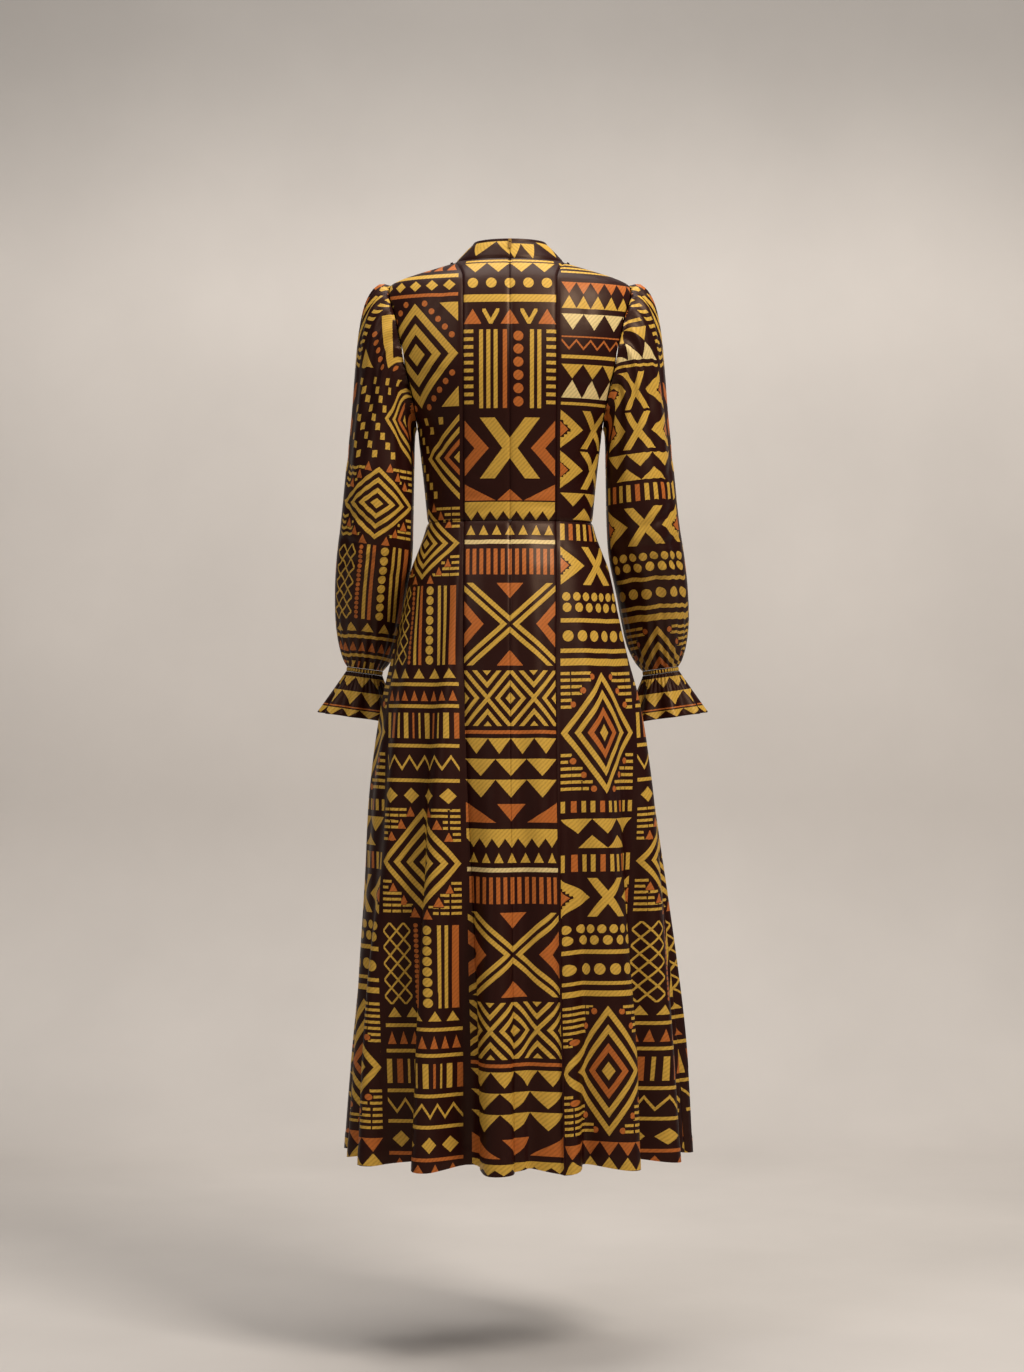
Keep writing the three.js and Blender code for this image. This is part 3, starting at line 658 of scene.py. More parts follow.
def build_sheet(
    name, points, u, v, relief, charts, ring=False, mirror_half=False, open_rows=None, normal=None
):
    """Makes the closed sheet over a grid of outer points, with its print, and returns it with its sizes."""
    rows, columns = u.shape
    normal = normals_of(points, ring) if normal is None else normal
    if mirror_half:  # the joined edge has no sideways part
        normal[open_rows:, -1, 0] = 0
    outer = points + normal * relief[..., None]
    inner = outer - normal * WALL
    corners = np.concatenate([outer.reshape(-1, 3), inner.reshape(-1, 3)]) * MM
    front = grid_faces(rows, columns, 0, ring, False)
    back = grid_faces(rows, columns, rows * columns, ring, True)
    faces = np.concatenate([front, back, rim_faces(rows, columns, ring, open_rows)])
    places = np.concatenate([np.stack([u.ravel(), v.ravel()], 1)] * 2) * MM
    side = np.ones(len(faces))
    side[len(front) : 2 * len(front)] = 0
    if mirror_half:
        corners = np.concatenate([corners, corners * [-1, 1, 1]])
        faces = np.concatenate([faces, faces[:, ::-1] + len(places)])
        places = np.concatenate([places, places * [-1, 1]])
        side = np.concatenate([side, side])
    mesh = bpy.data.meshes.new(name)
    mesh.from_pydata(corners.tolist(), [], faces.tolist())
    uv_map = mesh.uv_layers.new(name="cloth")
    vertex_of = np.zeros(len(mesh.loops), np.int32)
    mesh.loops.foreach_get("vertex_index", vertex_of)
    loop_places = places[vertex_of].reshape(-1, 4, 2)
    if ring:  # the faces of the last column end one step past it, and not back at the first
        across = loop_places[:, :, 0]
        low, high = across.min(1, keepdims=True), across.max(1, keepdims=True)
        wraps = (high - low > 0.06) & (across > (low + high) / 2)
        loop_places[:, :, 0] = np.where(wraps, low - ROW_STEP * MM, across)
    uv_map.data.foreach_set("uv", loop_places.astype(np.float32).ravel())
    centre = loop_places.mean(1) / MM
    print_attributes(mesh, centre[:, 0], centre[:, 1], charts, side)
    mesh.update()
    sheet = bpy.data.objects.new(name, mesh)
    bpy.context.collection.objects.link(sheet)
    work = bmesh.new()
    work.from_mesh(mesh)
    bmesh.ops.remove_doubles(work, verts=work.verts, dist=2e-6)
    bmesh.ops.recalc_face_normals(work, faces=work.faces)
    area = sum(face.calc_area() for face in work.faces) / 2
    work.to_mesh(mesh)
    work.free()
    mesh.shade_smooth()
    across = np.linalg.norm(np.diff(outer, axis=1), axis=-1).sum(1).max() * MM * (2 if mirror_half else 1)
    along = np.linalg.norm(np.diff(outer, axis=0), axis=-1).sum(0).max() * MM
    flat = tuple(round(float(size) * FOLD_ALLOWANCE, 3) for size in (across, along))
    return sheet, flat, float(area)


def draw_in(points, ring=False, distance=SEAM / 2):
    """Moves the grid's edges in along the cloth, to leave the gap of a seam."""
    moved = points.copy()
    edges = [(0, 1, 0), (-1, -2, 0)] if ring else [(0, 1, 0), (-1, -2, 0), (0, 1, 1), (-1, -2, 1)]
    for edge, inside, axis in edges:
        rows = np.moveaxis(moved, axis, 0)
        source = np.moveaxis(points, axis, 0)
        way = source[inside] - source[edge]
        way /= np.maximum(np.linalg.norm(way, axis=-1, keepdims=True), 1e-9)
        rows[edge] += way * distance
    return moved


# %% [markdown]
# # Small folds and creases
# Seams sink a little where they are stitched, the hem is turned up, and the cloth pulls into shallow
# creases at the waist, under the arms and in the elbows. These are too fine for the part's walls. A
# crease is a soft line from one place on the cloth to another, and slow waves keep the skirt uneven.

# %% Creases
PINCH_DEPTH, PINCH_WIDTH = 1.5, 2.6
FOLD_DEPTH, FOLD_WIDTH = 8.0, 17.0
HEM_TURN_UP = 24.0
CREASE = "u v to_u to_v width depth"
BODY_CREASES = table(
    CREASE,
    (150, 262, 96, 318, 9, 2.2),
    (-150, 262, -92, 326, 9, 2.2),
    (158, 292, 104, 352, 8, 1.8),
    (-156, 300, -100, 356, 8, 1.8),
    (140, 210, 96, 196, 10, 2.0),
    (-140, 214, -92, 204, 10, 2.0),
    (20, 384, 92, 398, 6, 1.6),
    (-18, 388, -84, 396, 6, 1.6),
    (36, 372, 84, 362, 5, 1.3),
    (-30, 374, -90, 358, 5, 1.3),
    (24, 424, 110, 452, 9, 1.5),
    (-26, 428, -104, 460, 9, 1.5),
    (10, 350, 60, 330, 6, 1.1),
    (-12, 346, -58, 322, 6, 1.1),
    (96, 60, 118, 120, 12, 1.6),
    (-98, 64, -116, 128, 12, 1.6),
)
ARM_CREASES = table(
    CREASE,
    (62, 60, 40, 330, 15, 3.4),
    (24, 40, 8, 250, 13, 3.0),
    (-20, 50, -34, 300, 16, 3.4),
    (-66, 90, -54, 330, 14, 2.8),
    (46, 300, 30, 560, 14, 3.4),
    (4, 330, -6, 560, 13, 3.2),
    (-44, 290, -38, 560, 15, 3.4),
    (-60, 330, 30, 362, 8, 2.4),
    (-80, 372, 20, 384, 7, 2.6),
    (-70, 410, 36, 398, 8, 2.2),
    (-40, 438, 50, 424, 9, 1.8),
    (-90, 250, -20, 300, 11, 1.6),
    (20, 180, 60, 260, 12, 1.6),
    (-50, 120, -10, 210, 13, 1.8),
    (60, 90, 40, 170, 11, 1.4),
)


def crease_relief(creases, u, v):
    """How far the cloth sinks at each place, with a small rise on both sides of each crease."""
    relief = np.zeros(u.shape)
    for start_u, start_v, end_u, end_v, width, depth in zip(*(creases[name] for name in CREASE.split())):
        way = np.array([end_u - start_u, end_v - start_v])
        length = np.hypot(*way)
        along = ((u - start_u) * way[0] + (v - start_v) * way[1]) / length**2
        aside = ((u - start_u) * way[1] - (v - start_v) * way[0]) / length
        bend = aside + 6 * np.sin(np.pi * along)
        taper = np.exp(-(((along - 0.5) / 0.42) ** 4))
        relief -= depth * taper * np.exp(-((bend / width) ** 2)) * (1 - 0.6 * (bend / width) ** 2)
    return relief


WAVES = table(
    "around down drift height",
    (7, 310, 0.4, 3.8),
    (11, 460, 2.1, 4.0),
    (17, 260, 4.0, 2.6),
    (26, 380, 1.2, 1.5),
)


def wave_relief(angle, z):
    """Slow uneven waves down the skirt, none at the waist and most near the hem."""
    grown = np.clip((WAIST_Z - z) / 500, 0, 1)
    relief = 0
    for around, down, drift, height in zip(*WAVES.values()):
        relief = relief + height * np.sin(around * angle + drift + 1.6 * np.sin(z / down + drift))
    return relief * grown


def column_folds(u, z):
    """The skirt's deep folds, which fall between the print's columns and grow towards the hem."""
    grown = np.clip((WAIST_Z - 60 - z) / 600, 0, 1)
    away = (np.abs((u / COLUMN_WIDTH) % 1 - 0.5)) * COLUMN_WIDTH
    uneven = 1 + 0.35 * np.sin(1.7 * np.round(u / COLUMN_WIDTH - 0.5) + 0.6)
    return -FOLD_DEPTH * uneven * grown * np.exp(-((away / FOLD_WIDTH) ** 2))


def pinch(distance):
    return -PINCH_DEPTH * np.exp(-((distance / PINCH_WIDTH) ** 2))


print("creases:", len(BODY_CREASES["u"]), "on the body,", len(ARM_CREASES["u"]), "on each arm")

# %% [markdown]
# # Body pieces
# The body has the pieces that a maker cuts: a centre back on each side of the zip, two side backs and
# one front, above and below the waist seam. Rows of points lie four millimetres apart, so that each
# small face takes the print of one patch. The bodice's front is a half, mirrored and joined down its
# middle.

# %% Panels of the body
ROW_STEP = 4.0
EDGE_STEPS = (0.0, 1.2, 2.6, 4.4)  # closer rows and columns beside a seam, in millimetres
PRINT_TOP = COLLAR_TOP["z"]
QUARTER = math.pi / 2
FLATTEN = 0.8  # how far the print ignores the depth of the grooves behind and in front
TURN_FROM, TURN_OVER = 35, 30  # degrees: where the print starts to follow the angle, and over how many
FRONT_AWAY = 400.0  # keeps the back's creases off the front
SEAM_CALM = 6.0  # waves and creases fade over this distance from a seam
HEM_STEP, HEM_BLEND = 0.35, 1.5  # how high the turned-up hem stands, and how sharply it ends


def spaced(low, high, step):
    """Places from low to high about a step apart, and closer beside both ends."""
    inner = np.linspace(low + EDGE_STEPS[-1], high - EDGE_STEPS[-1], max(2, round((high - low) / step)))
    near = [low + e for e in EDGE_STEPS[:-1]]
    far = [high - e for e in reversed(EDGE_STEPS[:-1])]
    return np.array([*near, *inner, *far])


def princess(rows, z):
    rise = np.maximum(0, (z - TIP_Z) / (NECK_Z - TIP_Z))
    x = PRINCESS_HALF + (NECK_HALF - PRINCESS_HALF) * rise**2
    return np.arcsin(np.minimum(1, x / at_height(rows, "half", z)))


def armhole_angle(z, way):
    """The angle of the armhole's or the side seam's edge at a height, behind or in front of the side."""
    up = np.clip((z - ARMHOLE["z"]) / ARMHOLE["half_height"], -1, 1)
    side = "back" if way > 0 else "front"
    y = ARMHOLE[side] * np.sqrt(1 - up**2)
    return QUARTER - way * np.arcsin(y / at_height(BODICE, side, z))


def neck_angle(z):
    """The angle of the front's inner edge: the neck seam, and below it the centre front."""
    below = np.clip((NECK_Z - z) / NECK_FRONT_DROP, 0, 1)
    x = NECK_HALF * np.sqrt(1 - below)
    return math.pi - np.arcsin(np.minimum(1, x / at_height(BODICE, "half", z)))


def print_across(rows, points, angle, z, origin):
    """The way round from the middle of the back or front. There the print hardly shows the grooves'
    depth, so most of it follows how far a point stands sideways; at the sides it follows the angle."""
    sideways = (points[..., 0] - at_height(rows, "shift", z)) / at_height(rows, "half", z)
    turned = np.arcsin(np.clip(sideways, -1, 1))
    seen = turned if origin == 0 else origin - turned
    away = np.clip((np.abs(np.degrees(angle - origin)) - TURN_FROM) / TURN_OVER, 0, 1)
    keep = FLATTEN * (1 - away**2 * (3 - 2 * away))
    return arc_length(rows, origin + 0 * angle, angle + (seen - angle) * keep, z)


def body_sheet(name, rows, surface, heights, start, end, columns, origin, half=False, open_rows=None):
    """A panel between two seams, each an angle at every height, with its print measured from origin."""
    z = heights[:, None]
    width = arc_length(rows, start(heights), end(heights), heights)
    mean = float(np.mean(width))
    share = spaced(0, mean, mean / columns) / mean
    if half:
        share[-1] = 1
    angle = start(z) + (end(z) - start(z)) * share[None, :]
    z = np.broadcast_to(z, angle.shape)
    points = surface(angle, z)
    u = -print_across(rows, points, angle, z, origin)
    v = PRINT_TOP - points[..., 2]
    body_angle = (angle + math.pi) % (2 * math.pi) - math.pi
    body_u = -u if origin == 0 else FRONT_AWAY - u
    relief = wave_relief(body_angle, z) + crease_relief(BODY_CREASES, body_u, PRINT_TOP - z)
    edge = np.minimum(share, 2 if half else 1 - share)[None, :] * width[:, None]
    calm = 1 - np.exp(-((edge / SEAM_CALM) ** 2))
    relief = relief * calm + pinch(edge) * (1 - np.exp(-width[:, None] / 4))
    relief += column_folds(u, z) * np.clip(2.5 * np.abs(np.cos(body_angle)), 0, 1) + pinch(WAIST_Z - z)
    relief += HEM_STEP * np.tanh((HEM_TURN_UP - (z - HEM_Z)) / HEM_BLEND) * (z < HEM_Z + 120)
    points = draw_in(points)
    if half:
        points[open_rows:, -1, 0] = 0
    charts = [RIGHT_CHART, LEFT_CHART, CENTRE_CHART]
    if origin == 0:
        charts = [CENTRE_CHART, RIGHT_CHART, LEFT_CHART]
    return build_sheet(name, points, u, v, relief, charts, mirror_half=half, open_rows=open_rows)


def finish_sheet(built, node, held):
    sheet, flat, area = built
    sheet.name = f"{node}_cloth"
    sheet.data.materials.append(cloth)
    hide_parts(node)
    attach(sheet, "dress")
    if held != "part of another":
        area = min(area, flat[0] * flat[1])
    print(f"{node}: cut {flat[0] * 1000:.0f} x {flat[1] * 1000:.0f} mm, {len(sheet.data.polygons)} faces")
    return sheet


def graded(top, bottom, close=()):
    """Heights from top down to bottom in the print's rows, with closer ones beside the given heights."""
    heights = set(np.arange(PRINT_TOP - ROW_STEP * 500, PRINT_TOP, ROW_STEP))
    for place in (top, bottom, *close):
        heights = {h for h in heights if abs(h - place) > 3.2}
        heights |= {place - 2.4, place - 1.0, place - 0.25, place, place + 0.25, place + 1.0, place + 2.4}
    kept = sorted((h for h in heights if bottom <= h <= top), reverse=True)
    return np.array(kept)


# %% [markdown]
# # The printed cloth
# The material is crepe satin, printed in gold, pale gold and orange on a dark brown ground. It reads
# the patch of each face, works out the motif's rule across and down its repeats, and lays the ink where
# the rule says. An image could hold the print, but the rules stay sharp at any distance and need no file.


# %% Nodes and materials
def add_node(tree, kind, inputs=(), **settings):
    """Adds a node, sets its properties, and fills its inputs in order from values or sockets."""
    node = tree.nodes.new(kind)
    for name, value in settings.items():
        setattr(node, name, value)
    named = inputs.items() if isinstance(inputs, dict) else enumerate(inputs)
    for place, value in named:
        if isinstance(value, bpy.types.NodeSocket):
            tree.links.new(value, node.inputs[place])
        elif value is not None:
            node.inputs[place].default_value = value
    return node


def noise(tree, place, scale, detail):
    inputs = {"Vector": place, "Scale": scale, "Detail": detail}
    return add_node(tree, "ShaderNodeTexNoise", inputs).outputs["Fac"]


def spread(tree, value, low, high, start=0.0, end=1.0, **settings):
    """Turns a value between start and end into one between low and high."""
    inputs = {"Value": value, "From Min": start, "From Max": end, "To Min": low, "To Max": high}
    return add_node(tree, "ShaderNodeMapRange", inputs, **settings).outputs["Result"]


def own_place(tree):
    return add_node(tree, "ShaderNodeTexCoord").outputs["Object"]


def add_bump(tree, shader, height, strength, distance):
    inputs = {"Height": height, "Strength": strength, "Distance": distance}
    tree.links.new(add_node(tree, "ShaderNodeBump", inputs).outputs["Normal"], shader.inputs["Normal"])


def new_material(name, colour=None, **inputs):
    """A material, its nodes and its Principled shader, with that shader's colour and inputs set."""
    material = bpy.data.materials.new(name)
    material.use_nodes = True
    tree = material.node_tree
    shader = tree.nodes["Principled BSDF"]
    if colour:
        inputs["Base Color"] = (*linear(colour), 1)
    for label, value in inputs.items():
        shader.inputs[label].default_value = value
    return material, tree, shader


# %% The cloth's material
ROUGHNESS = 0.41
SHEEN_LEVEL, EDGE_SHEEN = 0.45, 0.05  # where the cloth faces the camera, and where it turns away
SHEEN_TINT = "#e6c2a2"
TWILL = 0.314 / (3.2 * MM)  # a wave texture's scale for lines 3.2 mm apart
WAVER = 0.3 * MM  # how unevenly an inked edge runs
OUTSIDE_INK, INSIDE_INK = 0.97, 0.25  # how much of the ink shows on each side of the cloth


def crepe_satin():
    """Printed crepe satin: inks by the faces' patches, a twill line, a pebbled weave and a soft sheen."""
    material, tree, shader = new_material("crepe satin, screen printed", Roughness=ROUGHNESS, IOR=1.45)

    def calc(operation, first, *others):
        """One operation on its values, taken in turn."""
        for other in others or [None]:
            first = add_node(tree, "ShaderNodeMath", [first, other], operation=operation).outputs[0]
        return first

    def times(*values):
        return calc("MULTIPLY", *values)

    def plus(*values):
        return calc("ADD", *values)

    def between(value, low, high):
        return times(calc("GREATER_THAN", value, low), calc("LESS_THAN", value, high))

    def from_middle(share):
        """0 in the middle of a repeat and 1 at both of its ends."""
        return calc("ABSOLUTE", calc("SUBTRACT", times(share, 2.0), 1.0))

    def either(factor, one, two):
        return add_node(tree, "ShaderNodeMix", [factor, None, one, two], data_type="FLOAT").outputs[0]

    def mixed(factor, one, two):
        return add_node(tree, "ShaderNodeMix", {0: factor, 6: one, 7: two}, data_type="RGBA").outputs[2]

    def attribute(name, kind="Vector"):
        return add_node(tree, "ShaderNodeAttribute", attribute_name=name).outputs[kind]

    def parts(vector):
        return add_node(tree, "ShaderNodeSeparateXYZ", [vector]).outputs

    across, down, phase = parts(attribute("print_rule"))
    rings, fill, mirrored = parts(attribute("print_rings"))
    top, height, radial = parts(attribute("print_place"))
    left, width, limit = parts(attribute("print_span"))
    repeats, rows, strength = parts(attribute("print_repeats"))
    over, folded, _ = parts(attribute("print_limits"))
    place = add_node(tree, "ShaderNodeUVMap", uv_map="cloth").outputs["UV"]
    u, v, _ = parts(place)
    waver = times(calc("SUBTRACT", noise(tree, place, 90.0, 2.0), 0.5), WAVER)
    u, v = plus(u, waver), plus(v, waver)

    column = calc("FRACT", plus(calc("DIVIDE", u, COLUMN_WIDTH * MM), 0.5))
    local = times(calc("SUBTRACT", column, 0.5), COLUMN_WIDTH * MM)
    inside = calc("LESS_THAN", calc("ABSOLUTE", local), EDGE * MM)
    x = calc("DIVIDE", calc("SUBTRACT", local, left), width)
    a = from_middle(calc("FRACT", times(x, repeats)))
    way = calc("DIVIDE", calc("SUBTRACT", v, top), height)
    t = calc("FRACT", times(way, rows))
    t = either(calc("MAXIMUM", mirrored, radial), t, from_middle(t))

    straight = plus(times(across, a), times(down, t), phase)
    squares = plus(calc("POWER", times(across, a), 2.0), calc("POWER", times(down, t), 2.0))
    rule = either(radial, straight, calc("SQRT", squares))
    rule = either(folded, rule, calc("ABSOLUTE", rule))
    turns = times(rule, rings)
    inked = times(calc("LESS_THAN", calc("FRACT", turns), fill), between(rule, over, limit))
    marked = times(inked, between(way, 0.0, 1.0), inside, between(x, 0.0, 1.0))
    ring = calc("FLOOR", turns)
    second_ring = add_node(tree, "ShaderNodeMath", [ring, 1.0, 0.1], operation="COMPARE").outputs[0]

    inks = mixed(second_ring, attribute("print_ink", "Color"), attribute("print_second", "Color"))
    shown = plus(times(strength, OUTSIDE_INK - INSIDE_INK), INSIDE_INK)
    lines = {"Vector": place, "Scale": TWILL}
    twill = add_node(tree, "ShaderNodeTexWave", lines, bands_direction="DIAGONAL").outputs["Fac"]
    cover = plus(times(noise(tree, place, 420.0, 3.0), 0.5), plus(times(twill, 0.3), 0.55))
    covered = calc("MINIMUM", times(marked, shown, cover), 1.0)
    tree.links.new(mixed(covered, (*linear(GROUND), 1), inks), shader.inputs["Base Color"])

    facing = add_node(tree, "ShaderNodeLayerWeight", {"Blend": 0.5}).outputs["Facing"]
    sheen = spread(tree, facing, SHEEN_LEVEL, EDGE_SHEEN)
    tree.links.new(sheen, shader.inputs["Specular IOR Level"])
    shader.inputs["Specular Tint"].default_value = (*linear(SHEEN_TINT), 1)
    pebbles = plus(times(noise(tree, place, 1500.0, 2.0), 0.12), noise(tree, place, 28.0, 3.0))
    add_bump(tree, shader, pebbles, 0.35, 0.0016)
    return material


cloth = crepe_satin()
print("cloth material nodes:", len(cloth.node_tree.nodes))

# %% Skirt
SKIRT_HEIGHTS = graded(WAIST_Z, HEM_Z)
skirt_seam = lambda z: princess(SKIRT, z)
side = lambda z: QUARTER + 0 * z
middle_line = lambda z: 0 * z


def minus(edge):
    return lambda z: -edge(z)


def skirt_sheet(name, start, end, columns, origin=0.0):
    built = body_sheet(name, SKIRT, skirt_points, SKIRT_HEIGHTS, start, end, columns, origin)
    return finish_sheet(built, name, "gathered")


skirt_sheet("skirt_centre_back_left", middle_line, skirt_seam, 14)
skirt_sheet("skirt_centre_back_right", minus(skirt_seam), middle_line, 14)
skirt_sheet("skirt_side_back_left", skirt_seam, side, 46)
skirt_sheet("skirt_side_back_right", minus(side), minus(skirt_seam), 46)
skirt_sheet("skirt_front", side, lambda z: 3 * QUARTER + 0 * z, 116, origin=math.pi)

# %% Bodice
BACK_HEIGHTS = graded(NECK_Z - 0.3, WAIST_Z)
SIDE_HEIGHTS = graded(NECK_Z - 0.6, WAIST_Z, close=(TIP_Z, UNDERARM_Z))
NECK_FRONT_Z = NECK_Z - NECK_FRONT_DROP
FRONT_HEIGHTS = graded(NECK_Z - 0.6, WAIST_Z, close=(TIP_Z, UNDERARM_Z, NECK_FRONT_Z))
bodice_seam = lambda z: princess(BODICE, z)
back_edge = lambda z: armhole_angle(z, 1)
front_edge = lambda z: armhole_angle(z, -1)


def bodice_sheet(name, heights, start, end, columns, origin=0.0, **more):
    built = body_sheet(name, BODICE, bodice_points, heights, start, end, columns, origin, **more)
    return finish_sheet(built, name, "hung")


bodice_sheet("bodice_centre_back_left", BACK_HEIGHTS, middle_line, bodice_seam, 14)
bodice_sheet("bodice_centre_back_right", BACK_HEIGHTS, minus(bodice_seam), middle_line, 14)
bodice_sheet("bodice_side_back_left", SIDE_HEIGHTS, bodice_seam, back_edge, 22)
bodice_sheet("bodice_side_back_right", SIDE_HEIGHTS, minus(back_edge), minus(bodice_seam), 22)
neck_rows = int((FRONT_HEIGHTS > NECK_FRONT_Z).sum())
front = dict(origin=math.pi, half=True, open_rows=neck_rows)
bodice_sheet("bodice_front", FRONT_HEIGHTS, front_edge, neck_angle, 40, **front)


# %% [markdown]
# # Arms
# A sleeve is a tube of rings down the arm. Gathers lift its head over the shoulder and its wrist into
# the elastic, and fade between them. The band's fine ridges are the elastic's own, and the ruffle below
# flares into nine soft waves. The right arm is the left one mirrored, with its wrist a little further out.

# %% Rings down the arm
ARM_COLUMNS = 120
CAP_SHARE = 0.7  # the share of the columns that lie over the gathered head
CAP_ROWS = 6  # the table's rows with the head's gathers; those further down have the cuff's
FOREARM_Z, FOREARM = -340, 220  # where the right wrist starts to lean out, and over what height
ARM_ROWS = 280
CREASE_FADE, CREASE_END = 60, 520  # creases fade over so much, and are gone so far down the sleeve


def arm_turns():
    """Turns from the outermost line, closer together over the head."""
    cap = round(ARM_COLUMNS * CAP_SHARE)
    over = np.linspace(-CAP_TURN, CAP_TURN, cap + 1)
    under = np.linspace(CAP_TURN, 2 * math.pi - CAP_TURN, ARM_COLUMNS - cap + 1)[1:-1]
    return np.concatenate([over, under])


def arm_rings(row, turns, way):
    """Points of the rings at places in the sleeve's table, with each point's spoke from the middle."""
    values = {name: at_height(SLEEVE, name, -row) for name in SLEEVE if name != "z"}
    reach = np.clip((FOREARM_Z - values["out_z"]) / FOREARM, 0, 1)
    wrist_out = RIGHT_WRIST_OUT * reach**2 * (3 - 2 * reach) if way < 0 else 0
    outer = np.stack([values["out_x"] + wrist_out, values["y"], values["out_z"]], -1)
    inner = np.stack([values["in_x"] + wrist_out, values["y"], values["in_z"]], -1)
    centre = (outer + inner) / 2
    spoke = (outer - centre)[:, None, :] * np.cos(turns)[None, :, None]
    spoke[..., 1] += values["depth"][:, None] * np.sin(turns)[None, :]
    return centre[:, None, :] + spoke, spoke, values


def armhole_points(turns):
    z = ARMHOLE["z"] + ARMHOLE["half_height"] * np.cos(turns)
    y = np.sin(turns) * np.where(np.sin(turns) >= 0, ARMHOLE["back"], ARMHOLE["front"])
    depth = np.where(y >= 0, at_height(BODICE, "back", z), at_height(BODICE, "front", z))
    x = at_height(BODICE, "half", z) * np.sqrt(1 - (y / depth) ** 2)
    return np.stack([x, y, z], -1)


def around_back(points, turns):
    """The way round each ring from the middle of its back, positive towards the outermost line."""
    steps = np.linalg.norm(np.roll(points, -1, 1) - points, axis=-1)
    total = np.concatenate([np.zeros((len(points), 1)), np.cumsum(steps, 1)], 1)[:, :-1]
    start = np.array([np.interp(math.pi / 2, turns, row) for row in total])
    return start[:, None] - total


def gather_height(turns, rows, values):
    """The height of the gathers: bold and uneven over the head, finer at the wrist."""
    cap = np.exp(-((np.abs(turns) / CAP_TURN) ** 10))
    head = np.cos(CAP_GATHERS * math.pi * (turns + CAP_TURN) / CAP_TURN + 1.3 * np.sin(3 * turns + 1))
    cuff = np.cos((CAP_GATHERS + UNDER_GATHERS) * turns + 0.6 * np.sin(5 * turns))
    uneven = 1 + 0.45 * np.sin(2.7 * turns + 2)
    waves = np.where((rows < CAP_ROWS)[:, None], head * cap * uneven, cuff * CUFF_GATHER)
    return waves * values["gather"][:, None]


def level_rows(points, grids):
    """The same arm with its rows nearly level, where the print's rows lie. A row that would run above
    the armhole stays on its edge there, and joining equal points later takes those faces away."""
    drop = TIP_Z - points[..., 2]
    steps = np.linalg.norm(np.diff(points, axis=0), axis=-1)
    along = np.concatenate([np.zeros((1, points.shape[1])), np.cumsum(steps, 0)])
    level = (drop + drop[0] + along) / 2
    wanted = np.concatenate([[-1, 0, 1, 2.4], np.arange(ROW_STEP, level.max() + ROW_STEP, ROW_STEP)])
    places = np.stack([np.interp(wanted, column, np.arange(len(column))) for column in level.T], 1)
    low = np.minimum(places.astype(int), len(points) - 2)
    share = places - low
    column = np.arange(points.shape[1])
    made = []
    for grid in grids:
        part = share[..., None] if grid.ndim == 3 else share
        made.append(grid[low, column] * (1 - part) + grid[low + 1, column] * part)
    return made, np.broadcast_to(wanted[:, None], share.shape)


CUFF_GATHER = 1.5


def arm_surface(side):
    """The sleeve's grid from the armhole to the wrist, with its normals, relief and print's places."""
    turns = arm_turns()
    rows = np.linspace(0, len(SLEEVE["y"]) - 1, ARM_ROWS)
    points, spoke, values = arm_rings(rows, turns, side)
    gather = gather_height(turns, rows, values)
    points = points + spoke * (gather / np.linalg.norm(spoke, axis=-1))[..., None]
    edge = armhole_points(turns) + ARMHOLE_OUT * SEAM
    points = np.concatenate([edge[None], points])
    normal = -normals_of(points, ring=True)
    u = around_back(points, turns)
    (points, normal, u), v = level_rows(points, (points, normal, u))
    normal /= np.linalg.norm(normal, axis=-1, keepdims=True)
    fade = np.clip(v / CREASE_FADE, 0, 1) * np.clip((CREASE_END - v) / CREASE_FADE, 0, 1)
    return points, u, v, crease_relief(ARM_CREASES, -u, v) * fade, normal


SLEEVE_PRINT_DOWN = 114.0  # how far down its column of the print the sleeve's head is cut


def ring_sheet(name, grids, v, charts, side, held="gathered"):
    """Builds a ring's sheet from its points, its way round, its relief and its normals, left or right."""
    points, u, relief, normal = grids
    if side < 0:
        points = points * [-1, 1, 1]
        normal = None if normal is None else normal * [-1, 1, 1]
    else:  # a left arm's columns run the other way round, so they are turned
        points, u, v, relief = points[:, ::-1], -u[:, ::-1], v[:, ::-1], relief[:, ::-1]
        normal = None if normal is None else normal[:, ::-1]
    built = build_sheet(name, points, u, v, relief, charts, ring=True, normal=normal)
    return finish_sheet(built, name, held)


def wrist(side):
    """The wrist ring's middle, its reach out, its half depth and the way down the arm there."""
    last = np.array([len(SLEEVE["y"]) - 1.0])
    points, _, values = arm_rings(last, np.array([0.0, math.pi]), side)
    centre = points[0].mean(0)
    reach = points[0, 0] - centre
    down = np.array([reach[2], 0, -reach[0]])
    return centre, reach, float(values["depth"][0]), down / np.linalg.norm(down)


def cuff_rings(side, turns, shares, start, length, flare, wave):
    """Rings below the wrist: shares run down the length, flare gives the half sizes, wave the ripples."""
    centre, reach, depth, down = wrist(side)
    grid = []
    for share in shares:
        half, deep = flare(share, np.linalg.norm(reach), depth)
        spoke = reach / np.linalg.norm(reach) * half * np.cos(turns)[:, None]
        spoke[:, 1] += deep * np.sin(turns)
        spoke *= 1 + (wave(share, turns) / np.linalg.norm(spoke, axis=-1))[:, None]
        middle = centre + down * (start + length * share)
        grid.append(middle + (RUFFLE_DRIFT * share if length > BAND_HEIGHT else 0) + spoke)
    return np.array(grid)


def band_wave(share, turns):
    return RIDGE * np.cos(BAND_RIDGES * turns) + 0.5 * math.sin(math.pi * share) - 0.25


def ruffle_wave(share, turns):
    fine = 1.1 * (1 - share) ** 2 * np.cos(4 * RUFFLE_WAVES * turns + np.sin(3 * turns))
    lean = 0.5 * np.sin(2 * turns + 0.7)
    return RUFFLE_WAVE * share * np.cos(RUFFLE_WAVES * turns + lean * (1 - share)) + fine


def flared(share, half, depth):
    return half + (RUFFLE_HALF - half) * share, depth + (RUFFLE_DEPTH - depth) * share


def even(share, half, depth):
    return half, depth


